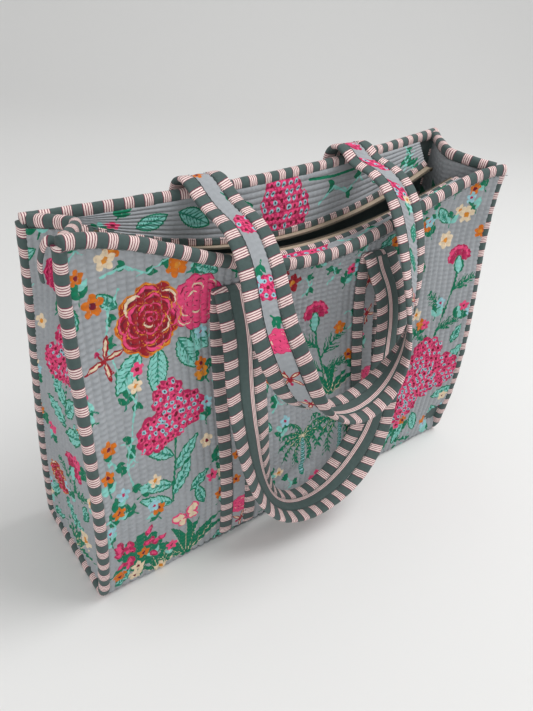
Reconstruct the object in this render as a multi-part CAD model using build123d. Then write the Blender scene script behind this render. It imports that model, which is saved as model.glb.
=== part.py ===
from build123d import *
import os
from math import asin, cos, degrees, pi, sqrt

# A soft quilted tote for knitting work: one quilted wrap makes the front, base and back,
# two gussets close the sides, striped binding covers every raw edge, a zipped inset closes
# the top, and two webbing handles run up the walls and loop over the rims.
# Millimetres. X runs along the front, -Y is the front, Z is up, origin under the base centre.

# ---- driving sizes ----------------------------------------------------------------------
WIDTH = 460.0              # between the two side seams
DEPTH = 126.0              # between the front and back corners at the base
FRONT_CORNER_LEFT = 345.0  # top of the front panel at each corner
FRONT_CORNER_RIGHT = 337.0
BACK_CORNER_LEFT = 334.0   # top of the back panel at each corner
BACK_CORNER_RIGHT = 350.0
FRONT_SLUMP = 64.0         # how far the middle of the front rim sinks
BACK_SLUMP = 3.0
FRONT_DRAW = 13.0          # how far the front left corner leans in at the top
BACK_DRAW = 33.5           # how far the back left corner leans in at the top
CORNER_TWIST = 12.0        # the right end stands this much further forward, the back less
FRONT_PULL = 18.0          # the middle of each rim leans in by this much more
BACK_PULL = 15.0
LOW_POLE = 0.4             # heights of the two poles that shape a wall, as shares of its rim's
HIGH_POLE = 0.74
END_BELLY = 30.0           # how far the front wall bellies out low down, at its ends
MID_BELLY = 8.0            # and in its middle
BACK_BELLY = 4.0
HIGH_LEAN = 10.0           # how far the front wall's high pole leans in past its rim
BACK_LEAN = 3.0

QUILT = 5.0                # cloth, wadding and lining sewn through
GUSSET_QUILT = 4.0
SEAM_RADIUS = 5.5          # rolled binding on seams and rims
SEAM_BEND = 9.0            # bend of the binding's centre line at a corner
RIM_BEND = 40.0            # and along a rim
GAP = 0.3                  # air between sewn neighbours
END_CLEAR = 1.5            # air where one binding stops short of another
GUSSET_CLEAR = 0.5         # more air at a gusset's edges, where the seam's binding bends
FOLD_IN = 25.0             # how deep each gusset folds in at the top
FOLD_START = 150.0         # height where the fold begins

STRAP = 42.0               # webbing width over both striped edges
STRAP_PRINT = 14.0         # the printed strip down its middle
STRAP_EDGE_THICK = 5.0
STRAP_LAYER = 0.1          # half the air between the handle's print and its lining
STRAP_PRINT_THICK = 1.6
LEG_THICK = 3.0            # webbing where it is sewn flat
LEG_START = 0.035          # where a sewn leg starts and ends, as shares of its wall's curve
FRONT_LEG_END = 0.93
BACK_LEG_END = 0.965
FRONT_FOOT_CLEAR = 1.9     # air between a sewn leg and the loop folded over it
BACK_FOOT_CLEAR = 2.3
FRONT_FOOT = 84.0          # centre of each strap from the middle of the bag
BACK_FOOT = 86.0

FRONT_HANDLE_LOW = 36.0    # height of the hanging front loop's centre line at its lowest
FRONT_HANDLE_OUT = 53.0    # how far the front loop stands off its hinge line
BACK_HANDLE_LOW = 165.0    # the same for the back loop, draped over the opening
BACK_HANDLE_OUT = 80.0     # how far the back loop stands out past the front rim
LOOP_RUN = 19.0            # longest straight run between two sections of a loop
TWIST_START = 0.12         # share of a loop that runs straight before the webbing turns over

ZIP_HALF = 196.0           # half of the zip line's span
ZIP_RISE = 42.0            # the zip line curves up by this much at its ends
ZIP_MID_HEIGHT = 287.0
ZIP_LINE_Y = 2.0
TEETH_WIDE = 2.4
TEETH_THICK = 2.0
TAPE_WIDE = 4.0
TAPE_THICK = 1.0
ZIP_BINDING_WIDE = 7.0
ZIP_BINDING_THICK = 4.0
ZIP_PANEL_THICK = 3.2
ZIP_OPEN_LEFT = 6.5        # space between the two tooth rows at the slider
ZIP_OPEN_RIGHT = 25.0      # and at the far end, where the mouth stands open

SLIDER_LONG = 12.0
SLIDER_WIDE = 9.0
SLIDER_PLATE = 1.2
SLIDER_CLEAR = 0.4
PULL_LONG = 26.0
PULL_WIDE = 5.0
PULL_THICK = 1.2
PULL_EYE_WALL = 0.9
PULL_WINDOW = 1.3          # radius of the hole near the pull's free end
PIN_RADIUS = 0.6
PIN_LIFT = 2.2             # pin's height over the slider's top plate
EAR_LONG = 2.4             # the two ears that hold the pin
EAR_THICK = 1.2
EAR_OVER_PIN = 1.0
PLATE_ROUND = 2.0
STOP_LONG = 3.0
STOP_HIGH = 3.2
STOP_THICK = 0.75
STOP_SEAT = 0.05           # air between a stop and the row that it is crimped on
STOP_MARGIN = 2.0          # air between a stop and the slider at the end of its run

HALF = WIDTH / 2
EDGE = HALF - SEAM_RADIUS - GAP    # where the wrap stops short of the side seams


# ---- the shape of the cloth ---------------------------------------------------------------
def mix(a, b, t):
    return a + (b - a) * t


def arch(x, power):
    """1 in the middle of the bag, falling to 0 at its ends."""
    return max(cos(pi / 2 * min(abs(x) / HALF, 1.0)), 0.0) ** power


def front_rim(x):
    t = x / WIDTH + 0.5
    y = -DEPTH / 2 + FRONT_DRAW - CORNER_TWIST * t + FRONT_PULL * arch(x, 0.7)
    z = mix(FRONT_CORNER_LEFT, FRONT_CORNER_RIGHT, t) - FRONT_SLUMP * arch(x, 1.6)
    return y, z


def back_rim(x):
    t = x / WIDTH + 0.5
    y = DEPTH / 2 - BACK_DRAW + 0.75 * CORNER_TWIST * t - BACK_PULL * arch(x, 1.0)
    z = mix(BACK_CORNER_LEFT, BACK_CORNER_RIGHT, t) - BACK_SLUMP * arch(x, 1.0)
    return y, z


def front_profile(x):
    """Four Bezier poles, base to rim, of the front wall's outer face at x."""
    y, z = front_rim(x)
    m = arch(x, 0.8)
    low = -DEPTH / 2 - mix(END_BELLY, MID_BELLY, m)
    high = y + mix(HIGH_LEAN, 2 * HIGH_LEAN, m)
    return [(-DEPTH / 2, 0.0), (low, LOW_POLE * z), (high, HIGH_POLE * z), (y, z)]


def back_profile(x):
    y, z = back_rim(x)
    low = DEPTH / 2 + BACK_BELLY
    return [(DEPTH / 2, 0.0), (low, LOW_POLE * z), (y + BACK_LEAN, HIGH_POLE * z), (y, z)]


STATIONS = [-EDGE, -160.0, -FRONT_FOOT - STRAP / 2, -FRONT_FOOT + STRAP / 2, 0.0,
            FRONT_FOOT - STRAP / 2, FRONT_FOOT + STRAP / 2, 160.0, EDGE]


def wall(profile, x):
    """Poles at x on the ruled cloth between the two nearest stations."""
    for left, right in zip(STATIONS, STATIONS[1:]):
        if left <= x <= right:
            t = (x - left) / (right - left)
            pairs = zip(profile(left), profile(right))
            return [(mix(p[0], q[0], t), mix(p[1], q[1], t)) for p, q in pairs]
    return profile(x)


def shifted(poles, distance):
    """The poles moved sideways, to the left of the way up when distance is positive."""
    out = []
    for i, pole in enumerate(poles):
        before = poles[max(i - 1, 0)]
        after = poles[min(i + 1, 3)]
        dy = after[0] - before[0]
        dz = after[1] - before[1]
        length = sqrt(dy * dy + dz * dz)
        out.append((pole[0] - distance * dz / length, pole[1] + distance * dy / length))
    return out


def at(x, point):
    return Vector(x, point[0], point[1])


def curve(x, poles):
    return Bezier(*[at(x, p) for p in poles])


def point_on(poles, t):
    """A point of a four-pole Bezier."""
    s = 1 - t
    weights = (s ** 3, 3 * t * s * s, 3 * t * t * s, t ** 3)
    return (sum(w * p[0] for w, p in zip(weights, poles)),
            sum(w * p[1] for w, p in zip(weights, poles)))


def part_of(poles, start, end):
    """The poles of the stretch of a Bezier between two parameters."""
    def blossom(a, b, c):
        pts = list(poles)
        for t in (a, b, c):
            pts = [(mix(p[0], q[0], t), mix(p[1], q[1], t)) for p, q in zip(pts, pts[1:])]
        return pts[0]
    return [blossom(start, start, start), blossom(start, start, end),
            blossom(start, end, end), blossom(end, end, end)]


def stack(sections):
    return loft([make_face(s) for s in sections], ruled=True)


def quad(a, b, shift):
    """Corners of a thin four-sided section from a to b, as thick as the vector shift."""
    return [a, b, b + shift, a + shift]


def strip_through(quads):
    """A closed strip through four-cornered sections, with one ruled face a side each step."""
    faces = [Face(Wire.make_polygon(corners, close=True)) for corners in (quads[0], quads[-1])]
    for near, far in zip(quads, quads[1:]):
        for i in range(4):
            j = (i + 1) % 4
            faces.append(Face.make_surface_from_curves(Edge.make_line(near[i], near[j]),
                                                       Edge.make_line(far[i], far[j])))
    return Solid(Shell(faces))


# ---- wrap and gussets -------------------------------------------------------------------
def wrap_section(x):
    front_out = wall(front_profile, x)
    front_in = shifted(front_out, -QUILT)
    back_out = wall(back_profile, x)
    back_in = shifted(back_out, QUILT)
    front_in[0] = (-DEPTH / 2 + QUILT, QUILT)
    back_in[0] = (DEPTH / 2 - QUILT, QUILT)
    edges = [curve(x, front_out[::-1]), Line(at(x, front_out[0]), at(x, back_out[0])),
             curve(x, back_out), Line(at(x, back_out[3]), at(x, back_in[3])),
             curve(x, back_in[::-1]), Line(at(x, back_in[0]), at(x, front_in[0])),
             curve(x, front_in), Line(at(x, front_in[3]), at(x, front_out[3]))]
    return Wire(edges)


def make_wrap():
    return stack([wrap_section(x) for x in STATIONS])


def seam_point(profile, x, t, inward):
    """The middle of the cloth at a side seam."""
    return point_on(shifted(wall(profile, x), inward * QUILT / 2), t)


SEAM_LEVELS = [0.28, 0.52, 0.76, 1.0]      # shares of the wall's curve at the seam's stops


def seam_stops(profile, side, inward):
    """The side seam's line up one wall, from the base corner to the rim."""
    corner = wall(profile, side * EDGE)[0][0] + inward * QUILT / 2
    stops = [Vector(side * HALF, corner, SEAM_RADIUS)]
    for t in SEAM_LEVELS:
        stops.append(Vector(side * HALF, *seam_point(profile, side * EDGE, t, inward)))
    return stops


def fold_at(z, top):
    return FOLD_IN * (max(z - FOLD_START, 0.0) / (top - FOLD_START)) ** 1.2


def gusset_rows(side):
    """Front edge, fold and back edge of a gusset's middle surface at each level."""
    clear = Vector(0, SEAM_RADIUS + GAP + GUSSET_CLEAR, 0)
    fronts = seam_stops(front_profile, side, -1)
    backs = seam_stops(back_profile, side, 1)
    for stops in (fronts, backs):
        climb = stops[1] - stops[0]
        stops[0] += climb * ((SEAM_RADIUS + END_CLEAR) / climb.Z)
    rows = []
    for front, back in zip(fronts, backs):
        front = front + clear
        back = back - clear
        fold = (front + back) / 2
        fold.X = side * (HALF - fold_at(fold.Z, fronts[-1].Z))
        rows.append((front, fold, back))
    return rows


def make_gusset(side):
    shift = Vector(-side * GUSSET_QUILT, 0, 0)
    rows = [[corner - shift / 2 for corner in row] for row in gusset_rows(side)]
    halves = [strip_through([quad(r[i], r[i + 1], shift) for r in rows]) for i in (0, 1)]
    return halves[0].fuse(halves[1])


def tube(points, radius, bend):
    path = FilletPolyline(*points, radius=bend)
    start = Plane(origin=path @ 0, z_dir=path % 0)
    return sweep(start * Circle(radius), path=path)


def make_seam_binding(side):
    """Rolled binding down the front seam, under the gusset and up the back seam."""
    front = seam_stops(front_profile, side, -1)
    back = seam_stops(back_profile, side, 1)
    front[-1].Z += 2 * SEAM_RADIUS
    back[-1].Z += 2 * SEAM_RADIUS
    return tube(front[::-1] + back, SEAM_RADIUS, SEAM_BEND)


def rim_point(profile, x, inward):
    """Centre of the rim's binding: on the wall's own line, clear of its cut edge."""
    outer = wall(profile, x)
    inner = shifted(outer, inward * QUILT)
    middle = at(x, outer[3]) + (at(x, inner[3]) - at(x, outer[3])) / 2
    upward = (at(x, outer[3]) - at(x, outer[2])).normalized()
    return middle + upward * (SEAM_RADIUS + 2 * GAP)


def make_rim_binding(profile, inward):
    end = EDGE - END_CLEAR
    stops = [-end] + STATIONS[1:-1] + [end]
    return tube([rim_point(profile, x, inward) for x in stops], SEAM_RADIUS, RIM_BEND)


def make_gusset_binding(side):
    lift = Vector(0, 0, SEAM_RADIUS + GAP)
    front, fold, back = [corner + lift for corner in gusset_rows(side)[-1]]
    front += (fold - front).normalized() * 2 * END_CLEAR
    back += (fold - back).normalized() * 2 * END_CLEAR
    return tube([front, fold, back], SEAM_RADIUS, SEAM_BEND)


# ---- webbing sewn to the walls ----------------------------------------------------------
def leg_strip(profile, side, x_from, x_to, thick, start, end):
    """A strip lying on the outer face between two x values."""
    sections = []
    for x in (x_from, x_to):
        poles = part_of(wall(profile, x), start, end)
        inner = shifted(poles, side * GAP)
        outer = shifted(poles, side * (GAP + thick))
        edges = [curve(x, inner), Line(at(x, inner[3]), at(x, outer[3])),
                 curve(x, outer[::-1]), Line(at(x, outer[0]), at(x, inner[0]))]
        sections.append(Wire(edges))
    return stack(sections)


def make_leg(profile, side, centre, end):
    half = STRAP / 2
    core = STRAP_PRINT / 2
    band = core + GAP
    printed = leg_strip(profile, side, centre - core, centre + core, LEG_THICK, LEG_START, end)
    left = leg_strip(profile, side, centre - half, centre - band, LEG_THICK, LEG_START, end)
    right = leg_strip(profile, side, centre + band, centre + half, LEG_THICK, LEG_START, end)
    return printed, Compound(children=[left, right])


# ---- handle loops ------------------------------------------------------------------------
def foot(profile, x, side, end, clear):
    """Middle of the webbing where it leaves the wall, clear of the sewn leg below it."""
    lift = GAP + LEG_THICK + clear + STRAP_EDGE_THICK / 2
    return at(x, shifted(wall(profile, x), side * lift)[3]) + (
        at(x, point_on(wall(profile, x), end)) - at(x, wall(profile, x)[3]))


FRONT_FEET = [foot(front_profile, x, 1, FRONT_LEG_END, FRONT_FOOT_CLEAR)
              for x in (-FRONT_FOOT, FRONT_FOOT)]
BACK_FEET = [foot(back_profile, x, -1, BACK_LEG_END, BACK_FOOT_CLEAR)
             for x in (-BACK_FOOT, BACK_FOOT)]

# Routes of the loops' centre lines from the left foot to the right foot, as shares: across
# the feet, out from the hinge line, and up from the lowest point to the hinge line.
FRONT_ROUTE = [(-1.00, 0.00, 1.00), (-1.01, 0.10, 0.955), (-1.02, 0.24, 0.90), (-1.05, 0.52, 0.70),
               (-1.03, 0.78, 0.46), (-0.92, 0.93, 0.24), (-0.62, 1.00, 0.06), (-0.10, 1.00, 0.00),
               (0.40, 0.95, 0.07), (0.78, 0.86, 0.24), (0.95, 0.72, 0.48), (1.06, 0.50, 0.71),
               (1.04, 0.24, 0.90), (1.01, 0.10, 0.955), (1.00, 0.00, 1.00)]
BACK_ROUTE = [(-1.00, 0.00, 1.00), (-1.00, 0.00, 1.07), (-1.00, 0.015, 1.12), (-0.99, 0.05, 1.155),
              (-0.98, 0.09, 1.163), (-0.97, 0.14, 1.15), (-0.95, 0.20, 1.11), (-0.93, 0.31, 1.06),
              (-0.91, 0.46, 1.02), (-0.91, 0.65, 0.87), (-0.91, 0.80, 0.61), (-0.82, 0.92, 0.38),
              (-0.52, 0.98, 0.11), (0.00, 1.00, 0.00), (0.48, 0.98, 0.05), (0.86, 0.93, 0.25),
              (1.04, 0.83, 0.49), (1.13, 0.67, 0.80), (1.14, 0.47, 1.02), (1.11, 0.31, 1.08),
              (1.06, 0.20, 1.11), (1.03, 0.14, 1.15), (1.02, 0.09, 1.163), (1.01, 0.05, 1.155),
              (1.00, 0.015, 1.12), (1.00, 0.00, 1.07), (1.00, 0.00, 1.00)]


def place_route(route, feet, reach, low):
    points = []
    for across, out, up in route:
        hinge = feet[0] + (feet[1] - feet[0]) * ((across + 1) / 2)
        points.append(Vector(hinge.X, hinge.Y - out * reach, mix(low, hinge.Z, up)))
    return points


def front_route():
    return place_route(FRONT_ROUTE, FRONT_FEET, FRONT_HANDLE_OUT, FRONT_HANDLE_LOW)


def back_route():
    reach = BACK_FEET[0].Y - front_rim(0)[0] + BACK_HANDLE_OUT
    return place_route(BACK_ROUTE, BACK_FEET, reach, BACK_HANDLE_LOW)


def twist(t):
    """Share of the half turn that the webbing has made at share t of the loop."""
    s = min(max((t - TWIST_START) / (1 - 2 * TWIST_START), 0.0), 1.0)
    return s * s * (3 - 2 * s)


def loop_shares(route):
    """Share of the loop's length at each section: each route point, and halfway on long runs."""
    lengths = [0.0]
    for a, b in zip(route, route[1:]):
        run = (b - a).length
        if run > LOOP_RUN:
            lengths.append(lengths[-1] + run / 2)
            run = run / 2
        lengths.append(lengths[-1] + run)
    return [length / lengths[-1] for length in lengths]


def loop_frames(route, turn):
    """Centre, width direction and face direction at each section of a loop."""
    line = Spline(*route)
    frames = []
    for t in loop_shares(route):
        centre = line @ t
        along = (line % t).normalized()
        angle = pi * twist(t)
        across = Vector(cos(angle), turn * sqrt(max(1 - cos(angle) ** 2, 0.0)), 0)
        across = (across - along * across.dot(along)).normalized()
        frames.append((centre, across, along.cross(across)))
    return frames


def loop_strip(frames, low, high, under, over):
    """Webbing layer between two offsets across its width and two across its thickness."""
    sections = []
    for centre, across, face in frames:
        a = centre + across * low + face * under
        b = centre + across * high + face * under
        sections.append(quad(a, b, face * (over - under)))
    return strip_through(sections)


def make_loop(route, turn):
    frames = loop_frames(route, turn)
    half = STRAP / 2
    core = STRAP_PRINT / 2
    thick = STRAP_EDGE_THICK / 2
    layer = STRAP_LAYER
    face = loop_strip(frames, -core, core, layer, layer + STRAP_PRINT_THICK)
    lining = loop_strip(frames, -core, core, -layer - STRAP_PRINT_THICK, -layer)
    first = loop_strip(frames, -half, -core - GAP, -thick, thick)
    second = loop_strip(frames, core + GAP, half, -thick, thick)
    return face, lining, first, second


# ---- zip closure --------------------------------------------------------------------------
ZIP_RADIUS = (ZIP_HALF ** 2 + ZIP_RISE ** 2) / (2 * ZIP_RISE)
ZIP_CENTRE = Vector(0, 0, ZIP_MID_HEIGHT + ZIP_RADIUS)
ZIP_SWEEP = degrees(asin(ZIP_HALF / ZIP_RADIUS))
ZIP_AXIS = Axis(ZIP_CENTRE, (0, 1, 0))
ZIP_STATIONS = [-ZIP_HALF] + [x for x in STATIONS if abs(x) < ZIP_HALF] + [ZIP_HALF]


def zip_height(x):
    return ZIP_CENTRE.Z - sqrt(ZIP_RADIUS ** 2 - x * x)


def arc_strip(y_from, y_to, thick):
    """A strip of rectangular section that follows the zip line's arc exactly."""
    middle = (y_from + y_to) / 2
    outline = Plane.YZ * Pos(middle, ZIP_MID_HEIGHT) * Rectangle(y_to - y_from, thick)
    turned = outline.rotate(ZIP_AXIS, ZIP_SWEEP)
    return revolve(turned, ZIP_AXIS, -2 * ZIP_SWEEP)


def zip_opening(x):
    share = (x + ZIP_HALF) / (2 * ZIP_HALF)
    return mix(ZIP_OPEN_LEFT, ZIP_OPEN_RIGHT, share ** 3)


def front_row(x):
    """Free edge of the front tooth row."""
    return Vector(x, ZIP_LINE_Y - zip_opening(x), zip_height(x) - TEETH_THICK)


def front_seat(x):
    """Where the front zip panel ends, aimed at the middle of the front rim's binding."""
    centre = rim_point(front_profile, x, -1)
    return centre + (front_row(x) - centre).normalized() * (SEAM_RADIUS + 2 * GAP)


def back_seat(x):
    """Where the back zip panel ends, laid against the inner side of the back rim's binding."""
    start = back_tape_edge(x)
    line = rim_point(back_profile, x, 1) - start
    clear = SEAM_RADIUS + 2 * GAP + ZIP_PANEL_THICK / 2
    reach = sqrt(line.length ** 2 - clear ** 2)
    turn = degrees(asin(clear / line.length))
    return start + line.rotate(Axis.X, turn).normalized() * reach


def laid_strip(start, seat, begin, end, thick):
    """A strip from begin to end along the line start(x) to seat(x); end None runs to the seat."""
    sections = []
    for x in ZIP_STATIONS:
        a = start(x)
        line = seat(x) - a
        unit = line.normalized()
        last = line.length if end is None else end
        across = Vector(0, -unit.Z, unit.Y).normalized() * thick
        low = a - across / 2
        sections.append(quad(low + unit * begin, low + unit * last, across))
    return strip_through(sections)


def back_tape_edge(x):
    tape_end = ZIP_LINE_Y + TEETH_WIDE + GAP + TAPE_WIDE
    return Vector(x, tape_end + GAP + ZIP_BINDING_THICK / 2, zip_height(x))


def make_front_closure():
    tape = TEETH_WIDE + GAP
    binding = tape + TAPE_WIDE + GAP
    panel = binding + ZIP_BINDING_WIDE + GAP
    teeth = laid_strip(front_row, front_seat, 0.0, TEETH_WIDE, TEETH_THICK)
    cloth = laid_strip(front_row, front_seat, tape, binding - GAP, TAPE_THICK)
    edge = laid_strip(front_row, front_seat, binding, panel - GAP, ZIP_BINDING_THICK)
    quilted = laid_strip(front_row, front_seat, panel, None, ZIP_PANEL_THICK)
    return teeth, cloth, edge, quilted


def make_back_closure():
    teeth = arc_strip(ZIP_LINE_Y, ZIP_LINE_Y + TEETH_WIDE, TEETH_THICK)
    tape_from = ZIP_LINE_Y + TEETH_WIDE + GAP
    cloth = arc_strip(tape_from, tape_from + TAPE_WIDE, TAPE_THICK)
    edge = laid_strip(back_tape_edge, back_seat, 0.0, ZIP_BINDING_WIDE, ZIP_BINDING_THICK)
    quilted = laid_strip(back_tape_edge, back_seat, ZIP_BINDING_WIDE + GAP, None,
                         ZIP_PANEL_THICK)
    return teeth, cloth, edge, quilted


SLIDER_REACH = SLIDER_WIDE / 2
PLATE_AT = TEETH_THICK / 2 + SLIDER_CLEAR
PIN_AT = PLATE_AT + SLIDER_PLATE + PIN_LIFT
SLIDER_X = -(ZIP_HALF - SLIDER_LONG / 2 - STOP_LONG - STOP_MARGIN)
SLIDER_TURN = -degrees(asin(SLIDER_X / ZIP_RADIUS))


def on_zip(shape):
    """Carry a shape built at the zip line's lowest point to the slider's place."""
    return shape.rotate(ZIP_AXIS, SLIDER_TURN)


def zip_box(long, y_from, y_to, low, high):
    """A block at the zip line's lowest point, its heights counted from the line."""
    middle = Vector(0, (y_from + y_to) / 2, ZIP_MID_HEIGHT + (low + high) / 2)
    return Pos(middle) * Box(long, y_to - y_from, high - low)


def make_slider():
    front = ZIP_LINE_Y - SLIDER_REACH
    back = ZIP_LINE_Y + SLIDER_REACH
    top = zip_box(SLIDER_LONG, front, back, PLATE_AT, PLATE_AT + SLIDER_PLATE)
    bottom = zip_box(SLIDER_LONG, front, back, -PLATE_AT - SLIDER_PLATE, -PLATE_AT)
    web = zip_box(SLIDER_LONG, front, front + SLIDER_PLATE, -PLATE_AT, PLATE_AT)
    body = top + bottom + web
    body = fillet(body.edges().filter_by(Axis.Z).group_by(Axis.Y)[-1], PLATE_ROUND)
    ear_in = PULL_WIDE / 2 + SLIDER_CLEAR
    for sign in (-1, 1):
        near = ZIP_LINE_Y + sign * ear_in
        far = ZIP_LINE_Y + sign * (ear_in + EAR_THICK)
        body += zip_box(EAR_LONG, min(near, far), max(near, far), PLATE_AT, PIN_AT + EAR_OVER_PIN)
    pin = Cylinder(PIN_RADIUS, 2 * ear_in + EAR_THICK)
    pin = Pos(0, ZIP_LINE_Y, ZIP_MID_HEIGHT + PIN_AT) * (Rot(90, 0, 0) * pin)
    return on_zip(body + pin)


def make_pull():
    eye = PIN_RADIUS + SLIDER_CLEAR
    outline = SlotCenterToCenter(PULL_LONG - PULL_WIDE, PULL_WIDE)
    tab = extrude(outline, PULL_THICK)
    ring = Cylinder(eye + PULL_EYE_WALL, PULL_WIDE)
    ring = Pos(-PULL_LONG / 2, 0, 0.5 * PULL_THICK) * (Rot(90, 0, 0) * ring)
    hole = Cylinder(eye, 2 * PULL_WIDE)
    hole = Pos(-PULL_LONG / 2, 0, 0.5 * PULL_THICK) * (Rot(90, 0, 0) * hole)
    window = extrude(Pos(PULL_LONG / 2 - PULL_WIDE, 0) * Circle(PULL_WINDOW), PULL_THICK)
    pull = tab + ring - hole - window
    place = Pos(PULL_LONG / 2, ZIP_LINE_Y, ZIP_MID_HEIGHT + PIN_AT - 0.5 * PULL_THICK)
    return on_zip(place * pull)


def make_stops():
    """Crimped stops on the back row, one past each end of the slider's run."""
    stops = []
    for sign in (-1, 1):
        edge = ZIP_LINE_Y - STOP_SEAT
        block = zip_box(STOP_LONG, edge - STOP_THICK, edge, -STOP_HIGH / 2, STOP_HIGH / 2)
        angle = degrees(asin((ZIP_HALF - STOP_LONG / 2) / ZIP_RADIUS))
        stops.append(block.rotate(ZIP_AXIS, -sign * angle))
    return Compound(children=stops)


# ---- write one file for each piece -------------------------------------------------------
def write(name, shape):
    export_step(shape, f"parts/{name}.step")


def main():
    os.makedirs("parts", exist_ok=True)
    write("wrap_panel", make_wrap())
    for name, side in (("left", -1), ("right", 1)):
        write(f"{name}_gusset", make_gusset(side))
        write(f"{name}_seam_binding", make_seam_binding(side))
        write(f"{name}_rim_binding", make_gusset_binding(side))
        printed, edges = make_leg(front_profile, 1, side * FRONT_FOOT, FRONT_LEG_END)
        write(f"front_{name}_strap_print", printed)
        write(f"front_{name}_strap_edges", edges)
        printed, edges = make_leg(back_profile, -1, side * BACK_FOOT, BACK_LEG_END)
        write(f"back_{name}_strap_print", printed)
        write(f"back_{name}_strap_edges", edges)
    write("front_rim_binding", make_rim_binding(front_profile, -1))
    write("back_rim_binding", make_rim_binding(back_profile, 1))
    for name, pieces in (("front", make_front_closure()), ("back", make_back_closure())):
        for what, piece in zip(("teeth", "tape", "binding", "panel"), pieces):
            write(f"{name}_zip_{what}", piece)
    write("zip_slider", make_slider())
    write("zip_pull", make_pull())
    write("zip_stops", make_stops())
    for name, route, turn, layers in (("front", front_route(), 1, ("lining", "print")),
                                      ("back", back_route(), -1, ("print", "lining"))):
        pieces = make_loop(route, turn)
        for what, piece in zip((*layers, "first_edge", "second_edge"), pieces):
            write(f"{name}_handle_{what}", piece)


main()
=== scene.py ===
import math

import bpy
import numpy as np
from bpy.props import FloatProperty, FloatVectorProperty, IntProperty, PointerProperty
from mathutils import Matrix, Vector


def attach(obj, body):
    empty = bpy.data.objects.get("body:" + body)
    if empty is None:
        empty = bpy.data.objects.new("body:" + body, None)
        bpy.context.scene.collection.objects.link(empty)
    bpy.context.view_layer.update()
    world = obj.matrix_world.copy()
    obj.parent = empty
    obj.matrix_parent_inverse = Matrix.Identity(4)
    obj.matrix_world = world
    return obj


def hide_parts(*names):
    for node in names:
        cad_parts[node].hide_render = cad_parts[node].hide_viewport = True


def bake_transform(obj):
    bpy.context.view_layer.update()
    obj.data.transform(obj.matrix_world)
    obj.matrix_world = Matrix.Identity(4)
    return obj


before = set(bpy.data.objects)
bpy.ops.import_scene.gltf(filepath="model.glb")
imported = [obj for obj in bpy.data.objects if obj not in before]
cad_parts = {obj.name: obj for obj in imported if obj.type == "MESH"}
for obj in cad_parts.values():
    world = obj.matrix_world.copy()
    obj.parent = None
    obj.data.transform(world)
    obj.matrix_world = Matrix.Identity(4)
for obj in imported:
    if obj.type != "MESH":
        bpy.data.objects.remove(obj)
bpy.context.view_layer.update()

bl_info = {
    "name": "Quilted knitting bag",
    "version": (1, 0, 0),
    "blender": (4, 5, 0),
    "location": "3D View > Sidebar > Knitting bag",
    "description": "A quilted knitting bag with striped binding, webbing handles and a zipped top",
    "category": "Object",
}

# Metres throughout. X runs along the front, -Y is the front, Z is up.

# ---- the bag's shape, as its rigid model has it ----
WIDTH = 0.460
DEPTH = 0.126
FRONT_CORNERS = (0.345, 0.337)  # rim heights at the left and right corners
BACK_CORNERS = (0.334, 0.350)
FRONT_SLUMP = 0.064  # how far a rim sinks between its corners
BACK_SLUMP = 0.003
FRONT_DRAW = 0.013  # how far a rim's left corner is drawn in over the base
BACK_DRAW = 0.0335
CORNER_TWIST = 0.012  # how much further out the front's right corner is
FRONT_PULL = 0.018  # how far a rim is pulled in at its middle
BACK_PULL = 0.015
LOW_POLE = 0.4  # heights of a wall curve's two poles, as shares
HIGH_POLE = 0.74
END_BELLY = 0.030  # how far the front's low pole stands out, at its ends
MID_BELLY = 0.008  # and at its middle
BACK_BELLY = 0.004
HIGH_LEAN = 0.010  # how far the front's high pole stands in from its rim
BACK_LEAN = 0.003  # and the back's stands out from its own
QUILT = 0.005  # thickness of the wrap
SEAM_RADIUS = 0.0055
GAP = 0.0003
GUSSET_QUILT = 0.004
FOLD_IN = 0.025  # how deep a gusset folds in at the top
FOLD_START = 0.150  # and how high its fold starts
HALF = WIDTH / 2
EDGE = HALF - SEAM_RADIUS - GAP

STRAP = 0.042
STRAP_PRINT = 0.014  # the printed strip between the webbing's two bands
STRAP_THICK = 0.005
LEG_THICK = 0.003  # webbing where it is sewn down
FRONT_FOOT_CLEAR = 0.0019  # from a sewn leg to the foot of its loop
BACK_FOOT_CLEAR = 0.0023
LEG_START = 0.035  # the legs' ends, as shares of a wall's curve
FRONT_LEG_END = 0.93
BACK_LEG_END = 0.965
FRONT_FOOT = 0.084  # the feet, from the bag's middle
BACK_FOOT = 0.086
FRONT_HANDLE_LOW = 0.036  # a loop's low end, above the floor
FRONT_HANDLE_OUT = 0.053  # out from its hinge line
BACK_HANDLE_LOW = 0.165
BACK_HANDLE_OUT = 0.080  # out beyond the front rim
TWIST_START = 0.12  # share of a loop before it starts to turn over

ZIP_HALF = 0.196
ZIP_RISE = 0.042  # how much higher the zip's ends are than its middle
ZIP_MID_HEIGHT = 0.287
ZIP_LINE_Y = 0.002
TEETH_WIDE = 0.0024
TEETH_THICK = 0.002
TAPE_WIDE = 0.004
ZIP_BINDING_WIDE = 0.007
ZIP_OPEN_LEFT = 0.0065  # the mouth's width at its two ends
ZIP_OPEN_RIGHT = 0.025
ZIP_RADIUS = (ZIP_HALF ** 2 + ZIP_RISE ** 2) / (2 * ZIP_RISE)

# ---- how finely the cloth is meshed ----
ROW_LINES = 6  # grid lines from one row of quilting to the next
WALL_LINES = 43 * ROW_LINES + 1  # grid lines up a wall
BASE_LINES = 16 * ROW_LINES + 1  # from the front of the base to its back
GUSSET_LINES = 41 * ROW_LINES + 1  # up a gusset
FACING_LINES = 14 * ROW_LINES + 1  # up the part of a gusset that shows its inside
ZIP_LINES = 55 * ROW_LINES + 1  # along the zip
LEG_POINTS = 235
LOOP_POINTS = {"front": 433, "back": 565}
OUTLINE_POINTS = 16  # round a rolled strip

SIDES = (("left", -1), ("right", 1))

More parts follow.
